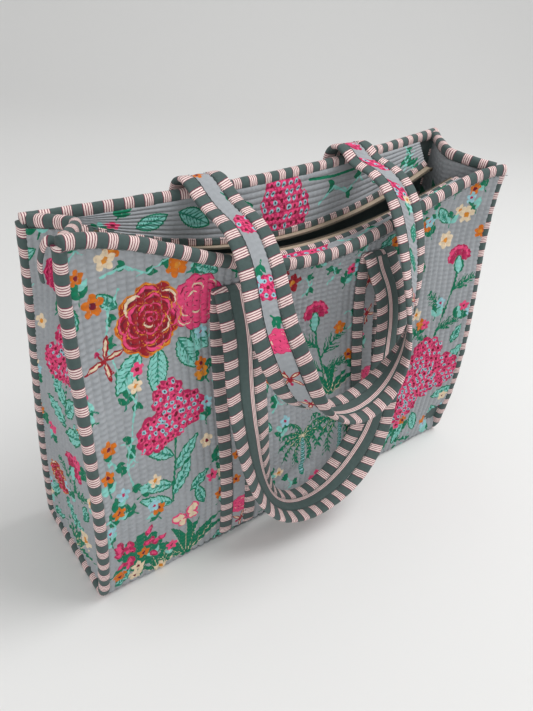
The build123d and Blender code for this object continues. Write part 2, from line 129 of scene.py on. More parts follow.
# The loops' routes, as shares: across the feet, out from the hinge line, and up.
FRONT_ROUTE = [(-1, 0, 1), (-1.01, 0.1, 0.955), (-1.02, 0.24, 0.9),
               (-1.05, 0.52, 0.7), (-1.03, 0.78, 0.46), (-0.92, 0.93, 0.24),
               (-0.62, 1, 0.06), (-0.1, 1, 0), (0.4, 0.95, 0.07),
               (0.78, 0.86, 0.24), (0.95, 0.72, 0.48), (1.06, 0.5, 0.71),
               (1.04, 0.24, 0.9), (1.01, 0.1, 0.955), (1, 0, 1)]
BACK_ROUTE = [(-1, 0, 1), (-1, 0, 1.07), (-1, 0.015, 1.12),
              (-0.99, 0.05, 1.155), (-0.98, 0.09, 1.163), (-0.97, 0.14, 1.15),
              (-0.95, 0.2, 1.11), (-0.93, 0.31, 1.06), (-0.91, 0.46, 1.02),
              (-0.91, 0.65, 0.87), (-0.91, 0.8, 0.61), (-0.82, 0.92, 0.38),
              (-0.52, 0.98, 0.11), (0, 1, 0), (0.48, 0.98, 0.05),
              (0.86, 0.93, 0.25), (1.04, 0.83, 0.49), (1.13, 0.67, 0.8),
              (1.14, 0.47, 1.02), (1.11, 0.31, 1.08), (1.06, 0.2, 1.11),
              (1.03, 0.14, 1.15), (1.02, 0.09, 1.163), (1.01, 0.05, 1.155),
              (1, 0.015, 1.12), (1, 0, 1.07), (1, 0, 1)]


def mix(a, b, t):
    return a + (b - a) * t


def unit(vectors):
    return vectors / np.linalg.norm(vectors, axis=-1, keepdims=True)


def square_to(along, vectors):
    """Unit vectors at right angles to a line, turned as little as they can be."""
    return unit(vectors - along * (vectors * along).sum(axis=1)[:, None])


def arch(x, power):
    """1 in the middle of the bag, falling to 0 at its ends."""
    return np.maximum(np.cos(np.pi / 2 * np.minimum(np.abs(x) / HALF, 1.0)), 0.0) ** power


def front_rim(x):
    t = x / WIDTH + 0.5
    y = -DEPTH / 2 + FRONT_DRAW - CORNER_TWIST * t + FRONT_PULL * arch(x, 0.7)
    return y, mix(*FRONT_CORNERS, t) - FRONT_SLUMP * arch(x, 1.6)


def back_rim(x):
    t = x / WIDTH + 0.5
    y = DEPTH / 2 - BACK_DRAW + 0.75 * CORNER_TWIST * t - BACK_PULL * arch(x, 1.0)
    return y, mix(*BACK_CORNERS, t) - BACK_SLUMP * arch(x, 1.0)


def front_poles(x):
    y, z = front_rim(x)
    m = arch(x, 0.8)
    low = -DEPTH / 2 - mix(END_BELLY, MID_BELLY, m)
    high = y + mix(HIGH_LEAN, 2 * HIGH_LEAN, m)
    return [(-DEPTH / 2, 0.0), (low, LOW_POLE * z), (high, HIGH_POLE * z), (y, z)]


def back_poles(x):
    y, z = back_rim(x)
    low = DEPTH / 2 + BACK_BELLY
    return [(DEPTH / 2, 0.0), (low, LOW_POLE * z), (y + BACK_LEAN, HIGH_POLE * z), (y, z)]


def wall_curve(poles, x, shares):
    """Points of a wall's outer face at x, for shares of its Bezier from the base to the rim."""
    t = np.asarray(shares, float)
    s = 1 - t
    weights = (s ** 3, 3 * t * s * s, 3 * t * t * s, t ** 3)
    y = sum(w * p[0] for w, p in zip(weights, poles(x)))
    z = sum(w * p[1] for w, p in zip(weights, poles(x)))
    return np.stack([np.full_like(t, x), y, z], axis=-1)


def lengths_along(points):
    steps = np.linalg.norm(np.diff(points, axis=0), axis=1)
    return np.concatenate([[0.0], np.cumsum(steps)])


def even(points, count):
    """The same line with its points evenly spaced."""
    along = lengths_along(points)
    wanted = np.linspace(0.0, along[-1], count)
    return np.stack([np.interp(wanted, along, points[:, k]) for k in range(3)], axis=1)


def smooth_line(points, count):
    """An even line of count points on the natural cubic spline through the given ones."""
    points = np.asarray(points, float)
    along = lengths_along(points)
    n = len(along)
    h = np.diff(along)
    system = np.eye(n)
    right = np.zeros((n, 3))
    for i in range(1, n - 1):
        system[i, i - 1:i + 2] = h[i - 1], 2 * (h[i - 1] + h[i]), h[i]
        right[i] = 6 * ((points[i + 1] - points[i]) / h[i] - (points[i] - points[i - 1]) / h[i - 1])
    bend = np.linalg.solve(system, right)
    wanted = np.linspace(0.0, along[-1], 6 * count)
    i = np.clip(np.searchsorted(along, wanted) - 1, 0, n - 2)
    b = (wanted - along[i])[:, None]
    a = (along[i + 1] - wanted)[:, None]
    step = h[i][:, None]
    line = ((bend[i] * a ** 3 + bend[i + 1] * b ** 3) / (6 * step)
            + (points[i] / step - bend[i] * step / 6) * a
            + (points[i + 1] / step - bend[i + 1] * step / 6) * b)
    return even(line, count)


def tangents(line):
    return unit(np.gradient(line, axis=0))


# ---- smooth random numbers ----
WAVES = 4


def waviness(values, period, seed, size=1.0):
    """A smooth random wave of about that period, between -size and size."""
    rng = np.random.default_rng(seed)
    total = np.zeros_like(np.asarray(values, float))
    for _ in range(WAVES):
        share = rng.uniform(0.6, 1.6)
        phase = rng.uniform(0, 2 * math.pi)
        total += np.sin(2 * math.pi * share * values / period + phase)
    return size * total / WAVES


def grain(rows, columns, seed):
    """A stable random number from 0 to 1 for each whole row and column number."""
    mixed = np.sin(rows * 12.9898 + columns * 78.233 + seed * 37.719) * 43758.5453
    return mixed - np.floor(mixed)


# ---- meshes ----
def signed_volume(points, faces):
    total = 0.0
    for a, b, c in faces:
        total += np.einsum("ij,ij->i", points[a], np.cross(points[b], points[c])).sum()
    return total


def placed(name, data):
    """A new object in the scene."""
    piece = bpy.data.objects.new(name, data)
    bpy.context.scene.collection.objects.link(piece)
    return piece


def mesh_object(name, points, quads=(), triangles=(), floats=None, cloth=None, closed=True):
    """A new object from arrays; floats are point attributes, cloth is a flat UV in metres."""
    quads = np.asarray(quads, int).reshape(-1, 4)
    triangles = np.asarray(triangles, int).reshape(-1, 3)
    if closed:
        fans = [(quads[:, 0], quads[:, 1], quads[:, 2]), (quads[:, 0], quads[:, 2], quads[:, 3]),
                (triangles[:, 0], triangles[:, 1], triangles[:, 2])]
        if signed_volume(points, fans) < 0:
            quads = quads[:, ::-1]
            triangles = triangles[:, ::-1]
    mesh = bpy.data.meshes.new(name)
    mesh.vertices.add(len(points))
    mesh.vertices.foreach_set("co", np.asarray(points, np.float32).ravel())
    corners = np.concatenate([quads.ravel(), triangles.ravel()])
    mesh.loops.add(len(corners))
    mesh.loops.foreach_set("vertex_index", corners.astype(np.int32))
    sizes = np.concatenate([np.full(len(quads), 4), np.full(len(triangles), 3)])
    mesh.polygons.add(len(sizes))
    starts = np.concatenate([[0], np.cumsum(sizes)[:-1]])
    mesh.polygons.foreach_set("loop_start", starts.astype(np.int32))
    mesh.polygons.foreach_set("use_smooth", np.ones(len(sizes), bool))
    mesh.update(calc_edges=True)
    for key, values in (floats or {}).items():
        attribute = mesh.attributes.new(key, "FLOAT", "POINT")
        attribute.data.foreach_set("value", np.asarray(values, np.float32).ravel())
    if cloth is not None:
        layer = mesh.uv_layers.new(name="Cloth")
        layer.data.foreach_set("uv", np.asarray(cloth, np.float32)[corners].ravel())
    mesh.validate()
    return placed(name, mesh)


def grid_quads(nu, nv, start=0):
    index = start + np.arange(nu * nv).reshape(nu, nv)
    return np.stack([index[:-1, :-1], index[:-1, 1:], index[1:, 1:], index[1:, :-1]],
                    axis=-1).reshape(-1, 4)


def border(nu, nv, start=0):
    """The indices round a grid's edge, in order, without repeating the first."""
    index = start + np.arange(nu * nv).reshape(nu, nv)
    return np.concatenate([index[:-1, 0], index[-1, :-1], index[:0:-1, -1], index[0, :0:-1]])


def grid_normals(points):
    """Unit normals on the side that a grid's rows and columns, crossed, point to."""
    return unit(np.cross(np.gradient(points, axis=0), np.gradient(points, axis=1)))


class Cloth:
    """A patch of quilted cloth: a grid of points, its outward normals and flat coordinates."""

    def __init__(self, points, outward):
        self.points = points
        self.normals = outward * grid_normals(points)
        steps = np.linalg.norm(np.diff(points, axis=1), axis=2)
        self.up = np.concatenate([np.zeros((len(points), 1)), np.cumsum(steps, axis=1)], axis=1)
        steps = np.linalg.norm(np.diff(points, axis=0), axis=2).mean(axis=1)
        across = np.concatenate([[0.0], np.cumsum(steps)])
        across -= across[-1] / 2
        self.across = np.repeat(across[:, None], points.shape[1], axis=1)

    def raised(self, height):
        return self.points + self.normals * np.asarray(height)[..., None]

    def shell(self, name, height, thick, page=None):
        """A closed quilted piece: the raised face, a plainer back and a wall all round."""
        step = ROW_LINES
        outer = self.raised(height)
        inner = (self.points - self.normals * thick)[::step, ::step]
        nu, nv = outer.shape[:2]
        mu, mv = inner.shape[:2]
        points = np.concatenate([outer.reshape(-1, 3), inner.reshape(-1, 3)])
        start = nu * nv
        quads = np.concatenate([grid_quads(nu, nv), grid_quads(mu, mv, start)[:, ::-1]])
        fine = border(nu, nv)
        coarse = border(mu, mv, start)
        half = step // 2
        triangles = []
        for i in range(len(coarse)):
            here, there = coarse[i], coarse[(i + 1) % len(coarse)]
            run = [fine[(i * step + k) % len(fine)] for k in range(step + 1)]
            for k in range(step):
                triangles.append((run[k + 1], run[k], here if k < half else there))
            triangles.append((run[half], here, there))
        # lining marks the inner face, which printed_cotton colours plain slate: painted shade
        # inside the bag
        floats = {"lining": np.concatenate([np.zeros(start), np.ones(mu * mv)])}
        for ink in INKS:
            layer = page.layers[ink] if page else np.full(start, CLEAR)
            floats[ink] = np.concatenate([layer, np.full(mu * mv, CLEAR)])
        flat = np.stack([self.across, self.up], axis=-1)
        cloth = np.concatenate([flat.reshape(-1, 2), flat[::step, ::step].reshape(-1, 2)])
        return mesh_object(name, points, quads, triangles, floats, cloth)


def sweep(name, line, side, face, section, start=0.0):
    """A closed solid: a section of (side, face) offsets carried along a line, capped."""
    section = np.asarray(section)
    if section.ndim == 2:
        section = np.repeat(section[None], len(line), axis=0)
    n, m = section.shape[:2]
    rings = (line[:, None] + side[:, None] * section[..., :1] + face[:, None] * section[..., 1:])
    points = np.concatenate([rings.reshape(-1, 3), line[:1], line[-1:]])
    index = np.arange(n * m).reshape(n, m)
    wrap = np.roll(index, -1, axis=1)
    quads = np.stack([index[:-1], wrap[:-1], wrap[1:], index[1:]], axis=-1).reshape(-1, 4)
    first = np.stack([wrap[0], index[0], np.full(m, n * m)], axis=-1)
    last = np.stack([index[-1], wrap[-1], np.full(m, n * m + 1)], axis=-1)
    along = lengths_along(line) + start
    floats = {"along": np.concatenate([np.repeat(along, m), along[:1], along[-1:]]),
              "across": np.concatenate([section[..., 0].ravel(), [0.0, 0.0]])}
    cloth = np.stack([floats["across"], floats["along"]], axis=-1)
    return mesh_object(name, points, quads, np.concatenate([first, last]), floats, cloth)


def pillow(width, thick, square):
    """An outline with rounded ends and softly crowned faces; a low square makes it boxy."""
    angle = np.linspace(0, 2 * math.pi, OUTLINE_POINTS, endpoint=False)
    x = np.sign(np.cos(angle)) * np.abs(np.cos(angle)) ** square
    y = np.sign(np.sin(angle)) * np.abs(np.sin(angle)) ** 0.85
    return np.stack([x * width / 2, y * thick / 2], axis=-1)


# ---- the print ----
# Each ink is a field of signed distances, in metres, over the flat cloth. Later inks cover
# earlier ones.
CLEAR = 0.05
MM = 0.001
INKS = ["green", "aqua", "vein", "orange", "crimson", "magenta", "pink", "wine", "cream", "gold",
        "sky", "night"]


class Page:
    """The inks over one cloth, laid out in millimetres across and up."""

    def __init__(self, across, up):
        self.x = np.ravel(across) / MM
        self.y = np.ravel(up) / MM
        self.layers = {ink: np.full(self.x.size, CLEAR) for ink in INKS}

    def near(self, x, y, reach):
        inside = (np.abs(self.x - x) < reach) & (np.abs(self.y - y) < reach)
        return Brush(self, np.flatnonzero(inside))


class Brush:
    """Draws shapes on the part of a page around one motif."""

    def __init__(self, page, index):
        self.page = page
        self.index = index
        self.x = page.x[index]
        self.y = page.y[index]

    def ink(self, name, distance):
        layer = self.page.layers[name]
        layer[self.index] = np.minimum(layer[self.index], distance * MM)

    def disc(self, name, x, y, radius, squash=1.0, turn=0.0):
        u, v = self.turned(x, y, turn)
        self.ink(name, np.hypot(u, v / squash) * min(squash, 1.0) - radius * min(squash, 1.0))

    def turned(self, x, y, turn):
        dx = self.x - x
        dy = self.y - y
        return (dx * math.cos(turn) + dy * math.sin(turn),
                -dx * math.sin(turn) + dy * math.cos(turn))

    def scalloped(self, name, x, y, radius, lobes, depth, turn=0.0):
        angle = np.arctan2(self.y - y, self.x - x) + turn
        edge = radius * (1 - depth + depth * np.abs(np.sin(lobes * angle / 2)))
        self.ink(name, np.hypot(self.x - x, self.y - y) - edge)

    def stroke(self, name, points, width, end_width=None):
        """A line through the points, its width running to end_width."""
        end_width = width if end_width is None else end_width
        best = np.full(self.x.size, 99.0)
        for k in range(len(points) - 1):
            (ax, ay), (bx, by) = points[k], points[k + 1]
            run = max((bx - ax) ** 2 + (by - ay) ** 2, 1e-9)
            t = np.clip(((self.x - ax) * (bx - ax) + (self.y - ay) * (by - ay)) / run, 0, 1)
            half = mix(width, end_width, (k + t) / (len(points) - 1)) / 2
            away = np.hypot(self.x - ax - t * (bx - ax), self.y - ay - t * (by - ay))
            best = np.minimum(best, away - half)
        self.ink(name, best)

    def blade(self, name, x, y, turn, length, width, teeth=0, bow=0.0):
        """A pointed leaf or petal from its foot at x, y; teeth notch its edge."""
        u, v = self.turned(x, y, turn)
        share = np.clip(u / length, 0, 1)
        v = v - bow * length * 4 * share * (1 - share)
        half = width / 2 * np.sin(np.pi * share ** 0.85) ** 0.8
        if teeth:
            half = half * (0.86 + 0.14 * np.abs(((u / length * teeth) % 1) * 2 - 1))
        outside = np.maximum(np.maximum(-u, u - length), 0)
        self.ink(name, np.hypot(np.maximum(np.abs(v) - half, 0), outside)
                 - np.minimum(half - np.abs(v), 1.5) * (np.abs(v) < half) * (outside == 0))

    def crescent(self, name, x, y, radius, turn, thick):
        """A petal's rim: the part of a disc that a second disc, moved back, doesn't cover."""
        first = np.hypot(self.x - x, self.y - y) - radius
        second = np.hypot(self.x - x + thick * math.cos(turn),
                          self.y - y + thick * math.sin(turn)) - radius
        self.ink(name, np.maximum(first, -second))


def polar(x, y, distance, turn):
    return x + distance * math.cos(turn), y + distance * math.sin(turn)


def curl(x, y, turn, length, bend, count=7):
    """Points of a line that starts towards turn and bends evenly."""
    points = [(x, y)]
    for k in range(count):
        points.append(polar(*points[-1], length / count, turn + bend * (k + 0.5) / count))
    return points


def leaf(page, x, y, turn, length, width, veins=6, body="aqua"):
    """A leaf with a dark toothed edge, a pale body and dark slanting veins."""
    brush = page.near(x, y, length + width)
    brush.blade("green", x, y, turn, length, width, teeth=veins * 2)
    if body == "green":
        brush.stroke("aqua", [(x, y), polar(x, y, length * 0.9, turn)], 1.1, 0.7)
        return
    brush.blade("aqua", *polar(x, y, 1.6, turn), turn, length - 3.6, width - 3.4, teeth=veins * 2)
    brush.stroke("vein", [(x, y), polar(x, y, length * 0.92, turn)], 1.7, 0.9)
    for k in range(veins):
        foot = polar(x, y, length * (0.10 + 0.66 * k / veins), turn)
        side = width * 0.42 * math.sin(math.pi * (0.2 + 0.7 * k / veins))
        for sign in (-1, 1):
            brush.stroke("vein", [foot, polar(*foot, side * 1.3, turn + sign * 0.8)], 1.25, 0.7)


def rose(page, x, y, radius, seed, ground="crimson", rims=("pink", "cream"),
         outlined=True):
    """A full rose: a lobed head with rims of petals turning in to its heart."""
    rng = np.random.default_rng(seed)
    brush = page.near(x, y, radius * 1.3)
    brush.scalloped("orange" if outlined else "magenta", x, y, radius * 1.05, 9, 0.13)
    brush.scalloped(ground, x, y, radius, 9, 0.12)
    for ring, (share, count) in enumerate(((0.78, 8), (0.56, 6), (0.35, 5), (0.16, 3))):
        for k in range(count):
            turn = 2 * math.pi * (k + 0.35 * ring) / count + rng.uniform(-0.2, 0.2)
            size = radius * (0.34 - 0.055 * ring)
            px, py = polar(x, y, radius * share - size * 0.45, turn)
            if outlined:
                brush.crescent("orange", px, py, size * 1.10, turn, size * 0.30)
                brush.crescent("gold", px, py, size * 1.12, turn, size * 0.13)
            brush.crescent(rims[k % 2 if rng.random() < 0.62 else 0], px, py, size * 0.92,
                           turn + rng.uniform(-0.3, 0.3), size * rng.uniform(0.16, 0.34))
            brush.crescent("wine", px, py, size * 0.62, turn, size * 0.16)
    brush.disc("pink", x, y, radius * 0.08)
    brush.disc("wine", x + radius * 0.03, y, radius * 0.04)


def pink_rose(page, x, y, radius, seed):
    """A rose of soft pinks, without the orange lines."""
    rose(page, x, y, radius, seed, "pink", ("magenta", "cream"), outlined=False)


def floret_cluster(page, x, y, radius, seed):
    """A knobbly head of small flowers, drawn with dark lines and a few pale ringed eyes."""
    rng = np.random.default_rng(seed)
    brush = page.near(x, y, radius * 1.3)
    brush.scalloped("magenta", x, y, radius, 9, 0.16, turn=seed)
    step = 7.0
    rows = int(radius // (step * 0.87)) + 1
    for j in range(-rows, rows + 1):
        for i in range(-rows - 1, rows + 2):
            fx = x + (i + 0.5 * (j % 2)) * step + rng.uniform(-0.9, 0.9)
            fy = y + j * step * 0.87 + rng.uniform(-0.9, 0.9)
            if math.hypot(fx - x, fy - y) > radius - 2.0:
                continue
            start = rng.uniform(0, math.pi)
            for k in range(5):
                px, py = polar(fx, fy, 2.6, start + k * math.tau / 5)
                brush.disc("pink", px, py, 1.2)
            if rng.random() < 0.55:
                brush.disc("sky", fx, fy, 2.3, 0.8, start)
                brush.disc("night", fx, fy, 1.0)
            else:
                brush.disc("wine", fx, fy, 1.5)


def hydrangea(page, x, y, size, seed):
    """Four knobbly heads run together."""
    for dx, dy, share in ((-0.10, 0.62, 0.46), (0.42, 0.14, 0.46), (-0.52, -0.08, 0.50),
                          (-0.05, -0.02, 0.44)):
        floret_cluster(page, x + dx * size, y + dy * size, share * size, seed)
        seed += 1


def stem(page, points, width=1.5, ink="green"):
    middle = points[len(points) // 2]
    reach = max(max(abs(p[0] - middle[0]), abs(p[1] - middle[1])) for p in points) + 4
    page.near(*middle, reach).stroke(ink, points, width, width * 0.7)


def carnation(page, x, y, size, turn, seed):
    """A fan of toothed petals on a long calyx."""
    rng = np.random.default_rng(seed)
    brush = page.near(x, y, size * 1.6)
    cx, cy = polar(x, y, -size * 0.75, turn)
    brush.blade("green", cx, cy, turn, size * 0.95, size * 0.55)
    brush.blade("aqua", *polar(cx, cy, 0.8, turn), turn, size * 0.85, size * 0.36)
    for k in range(9):
        spread = turn + (k - 4) * 0.34
        px, py = polar(x, y, size * 0.40, spread)
        brush.scalloped("magenta", px, py, size * 0.27, 7, 0.2, turn=k)
        brush.disc("pink", *polar(x, y, size * 0.52, spread), size * 0.085)
        foot = polar(x, y, size * 0.16, spread)
        brush.stroke("wine", [foot, polar(x, y, size * 0.44, spread)], 0.5)
    for k in range(14):
        spread = turn + rng.uniform(-1.3, 1.3)
        brush.disc("wine", *polar(x, y, size * rng.uniform(0.2, 0.55), spread), 0.42)


def frond(page, x, y, turn, length, seed, bend=0.3):
    """A fine branching spray of needle leaves."""
    rng = np.random.default_rng(seed)
    spine = curl(x, y, turn, length, bend)
    brush = page.near(*polar(x, y, length / 2, turn), length)
    brush.stroke("green", spine, 2.2, 1.2)
    for k, (px, py) in enumerate(spine[1:]):
        here = turn + bend * (k + 1) / len(spine)
        for sign in (-1, 1):
            reach = length * (0.46 - 0.045 * k) * rng.uniform(0.85, 1.15)
            lean = here + sign * rng.uniform(0.55, 0.8)
            brush.stroke("green", [(px, py), polar(px, py, reach, lean)], 1.9, 0.9)


def sword_leaves(page, x, y, length, count, seed, spread=1.2):
    """A tuft of toothed sword leaves with pale midribs."""
    rng = np.random.default_rng(seed)
    brush = page.near(x, y + length / 2, length * 1.4)
    for k in range(count):
        lean = math.pi / 2 + spread * (2 * (k + 0.5) / count - 1) + rng.uniform(-0.08, 0.08)
        reach = length * rng.uniform(0.75, 1.05)
        bow = 0.10 * (1 if lean > math.pi / 2 else -1)
        brush.blade("green", x, y, lean, reach, length * 0.17, teeth=9, bow=-bow)
        tip = polar(x, y, reach * 0.75, lean)
        brush.stroke("cream", [polar(x, y, reach * 0.12, lean), tip], 1.0, 0.7)


def palm(page, x, y, height, seed):
    """A banded trunk under a crown of drooping leaves."""
    rng = np.random.default_rng(seed)
    brush = page.near(x, y + height * 0.5, height)
    trunk = [(x + 2.5, y), (x + 1.0, y + height * 0.35), (x, y + height * 0.62)]
    brush.stroke("vein", trunk, 6.0, 4.6)
    for k in range(int(height * 0.6 / 2.6)):
        share = k * 2.6 / (height * 0.62)
        px = mix(x + 2.5, x, share)
        py = y + k * 2.6
        brush.stroke("sky", [(px - 1.9, py - 0.6), (px + 1.9, py + 0.7)], 1.15)
    top = y + height * 0.62
    for k in range(9):
        lean = math.radians(-38 + 256 * k / 8) + rng.uniform(-0.1, 0.1)
        reach = height * rng.uniform(0.36, 0.46)
        droop = -1.25 if math.cos(lean) > 0 else 1.25
        spine = curl(x, top, lean, reach, droop)
        brush.stroke("green", spine, 4.4, 1.8)
        brush.stroke("cream", spine[:-2], 0.9, 0.6)
        for px, py in spine[2:]:
            for sign in (-1, 1):
                tip = polar(px, py, reach * 0.22, -math.pi / 2 + sign * 0.6)
                brush.stroke("green", [(px, py), tip], 2.3, 0.9)


def butterfly(page, x, y, size, turn, wing="pink", edge="magenta"):
    brush = page.near(x, y, size * 1.6)
    for sign in (-1, 1):
        for lean, share in ((0.55, 1.0), (-0.55, 0.72)):
            tilt = turn + (lean if sign > 0 else math.pi - lean)
            px, py = polar(x, y, size * 0.42 * share, tilt)
            brush.disc(edge, px, py, size * 0.36 * share, 0.75, tilt)
            brush.disc(wing, px, py, size * 0.27 * share, 0.7, tilt)
            brush.stroke("wine", [polar(x, y, size * 0.15, tilt),
                                  polar(x, y, size * 0.58 * share, tilt)], 0.9)
    up = turn + math.pi / 2
    brush.stroke("wine", [polar(x, y, -size * 0.35, up), polar(x, y, size * 0.3, up)], 1.0, 0.7)
    for sign in (-1, 1):
        brush.stroke("wine", [polar(x, y, size * 0.3, up),
                              polar(x, y, size * 0.62, up + sign * 0.35)], 0.8)


def dragonfly(page, x, y, size, turn):
    brush = page.near(x, y, size * 1.5)
    for lean in (0.45, 2.5, -0.75, -2.3):
        brush.blade("crimson", x, y, turn + lean, size, size * 0.26)
        brush.blade("cream", *polar(x, y, size * 0.14, turn + lean), turn + lean, size * 0.72,
                    size * 0.12)
    brush.stroke("crimson", [polar(x, y, size * 0.35, turn + 1.4),
                             polar(x, y, size * 0.75, turn - 2.0)], 1.8, 1.0)
    brush.disc("magenta", *polar(x, y, size * 0.45, turn + 1.4), size * 0.12)


def small_flower(page, x, y, size, petals, heart, count=5):
    brush = page.near(x, y, size * 1.6)
    for k in range(count):
        lean = 0.3 + k * math.tau / count
        px, py = polar(x, y, size * 0.55, lean)
        brush.disc(petals, px, py, size * 0.36, 0.85, lean)
        if petals == "cream":
            brush.stroke("gold", [polar(x, y, size * 0.25, lean), (px, py)], 0.5)
    brush.disc(heart, x, y, size * 0.26)


def tulip_spray(page, x, y, size, seed):
    """A thick spray of pink-tipped buds on a green ground."""
    rng = np.random.default_rng(seed)
    brush = page.near(x, y, size * 2.2)
    brush.scalloped("green", x, y, size * 0.72, 9, 0.3, turn=seed)
    for k in range(20):
        lean = math.pi / 2 + rng.uniform(-2.4, 2.4)
        foot = polar(x, y, size * rng.uniform(0.15, 0.72), lean)
        long = size * rng.uniform(0.26, 0.36)
        brush.blade("magenta", *foot, lean + rng.uniform(-0.4, 0.4), long, long * 0.62)
        brush.blade("pink", *polar(*foot, long * 0.25, lean), lean, long * 0.6, long * 0.34)
        if k % 3 == 0:
            brush.disc("wine", *foot, 1.0)
    for k in range(5):
        lean = -math.pi / 2 + (k - 2) * 0.55
        brush.blade("green", x, y, lean, size * 1.1, size * 0.24, teeth=5)


def vine(page, points, seed):
    """A thin wandering stem with heart-shaped leaves and curling ends."""
    rng = np.random.default_rng(seed)
    stem(page, points, 1.9, "aqua")
    for k in range(1, len(points)):
        x, y = points[k]
        turn = rng.uniform(0, math.tau)
        brush = page.near(x, y, 14)
        for part in (turn, turn + 0.9):
            brush.blade("green", x, y, part, rng.uniform(8, 11), rng.uniform(4.4, 6))
        brush.stroke("aqua", curl(x, y, turn + 2.5, 10, 1.8, 4), 1.6, 0.9)


def sprig(page, x, y, turn, size, seed):
    """A small blossom on a short leafy stalk, for filling between the large flowers."""
    rng = np.random.default_rng(seed)
    stalk = curl(x, y, turn, size, rng.uniform(-0.8, 0.8), 4)
    stem(page, stalk, 1.6, "green" if rng.random() < 0.6 else "vein")
    brush = page.near(x, y, size * 1.8)
    for px, py in stalk[1:3]:
        for sign in (-1, 1):
            brush.blade("green" if rng.random() < 0.7 else "aqua", px, py,
                        turn + sign * rng.uniform(0.6, 1.0), size * 0.52, size * 0.24)
    petals, heart = [("orange", "wine"), ("cream", "gold"), ("sky", "magenta"),
                     ("pink", "wine")][rng.integers(4)]
    small_flower(page, *stalk[-1], size * 0.34, petals, heart)


def strip_print(page, seed, length):
    """Scraps of the same print, as they fall on a narrow strip of webbing."""
    rng = np.random.default_rng(seed)
    y = rng.uniform(0, 12)
    while y < length:
        kind = rng.integers(6)
        x = rng.uniform(-5, 5)
        if kind == 0:
            floret_cluster(page, x + 4, y, 11, seed + int(y))
        elif kind == 1:
            leaf(page, x, y, rng.uniform(0.8, 2.2), 20, 9)
        elif kind == 2:
            pink_rose(page, x - 3, y, 11, seed + int(y))
        elif kind == 3:
            dragonfly(page, x, y, 13, rng.uniform(0, 3))
        elif kind == 4:
            small_flower(page, x, y, 6.5, "orange", "wine")
        else:
            sprig(page, x, y, rng.uniform(0.6, 2.4), 16, seed + int(y))
        y += rng.uniform(20, 40)


def garden(page, low, high, seed, step=62):
    """The print where no one flower is singled out: large and small motifs in loose rows."""
    rng = np.random.default_rng(seed)
    row = 0
    y = low[1]
    while y < high[1]:
        x = low[0] + (step / 2) * (row % 2)
        while x < high[0]:
            mx = x + rng.uniform(-8, 8)
            my = y + rng.uniform(-8, 8)
            number = int(abs(mx * 7 + my))
            kind = (row * 3 + int((x - low[0]) // step)) % 6
            if kind == 0:
                hydrangea(page, mx, my, 21, seed + number)
                stem(page, curl(mx, my - 4, -1.5, 55, 0.2), 1.6)
                for k, sign in enumerate((-1, 1, -1, 1)):
                    leaf(page, mx + 1, my - 16 - 10 * k, math.pi / 2 - sign * 1.05, 25, 10)
            elif kind == 1:
                rose(page, mx, my, 19, seed + number)
                for sign in (-1, 1):
                    leaf(page, mx + sign * 6, my - 16, -math.pi / 2 + sign * 0.5, 25, 14)
            elif kind == 2:
                stem(page, curl(mx, my - 8, -1.7, 48, 0.4), 1.7)
                carnation(page, mx, my, 17, 1.4, seed + number)
                frond(page, mx, my - 34, 2.3, 24, seed + number)
                frond(page, mx + 2, my - 30, 0.9, 24, seed + number + 1, -0.3)
            elif kind == 3:
                butterfly(page, mx, my, 14, rng.uniform(-0.5, 0.5))
                sprig(page, mx + 12, my - 26, 1.2, 22, seed + number)
            elif kind == 4:
                sword_leaves(page, mx, my - 22, 34, 7, seed + number)
                small_flower(page, mx + 6, my + 20, 6, "cream", "gold")
            else:
                vine(page, [(mx - 4, my - 26), (mx + 4, my - 10), (mx - 3, my + 6),
                            (mx + 6, my + 22)], seed + number)
                small_flower(page, mx + 9, my + 26, 6, "orange", "wine")
            x += step
        y += step * 0.92
        row += 1


# ---- materials ----
def colour(red, green, blue):
    """A linear colour from the 0 to 255 values that a screen shows."""
    def linear(v):
        v = v / 255
        return v / 12.92 if v <= 0.04045 else ((v + 0.055) / 1.055) ** 2.4
    return (linear(red), linear(green), linear(blue), 1.0)


INK_COLOURS = {
    "green": colour(10, 116, 84), "aqua": colour(132, 200, 190), "vein": colour(34, 126, 104),
    "orange": colour(206, 110, 24), "crimson": colour(152, 26, 40),
    "magenta": colour(178, 36, 86), "pink": colour(226, 72, 122), "wine": colour(112, 22, 44),
    "cream": colour(226, 206, 176), "gold": colour(214, 138, 44), "sky": colour(150, 198, 208),
    "night": colour(52, 48, 66),
}


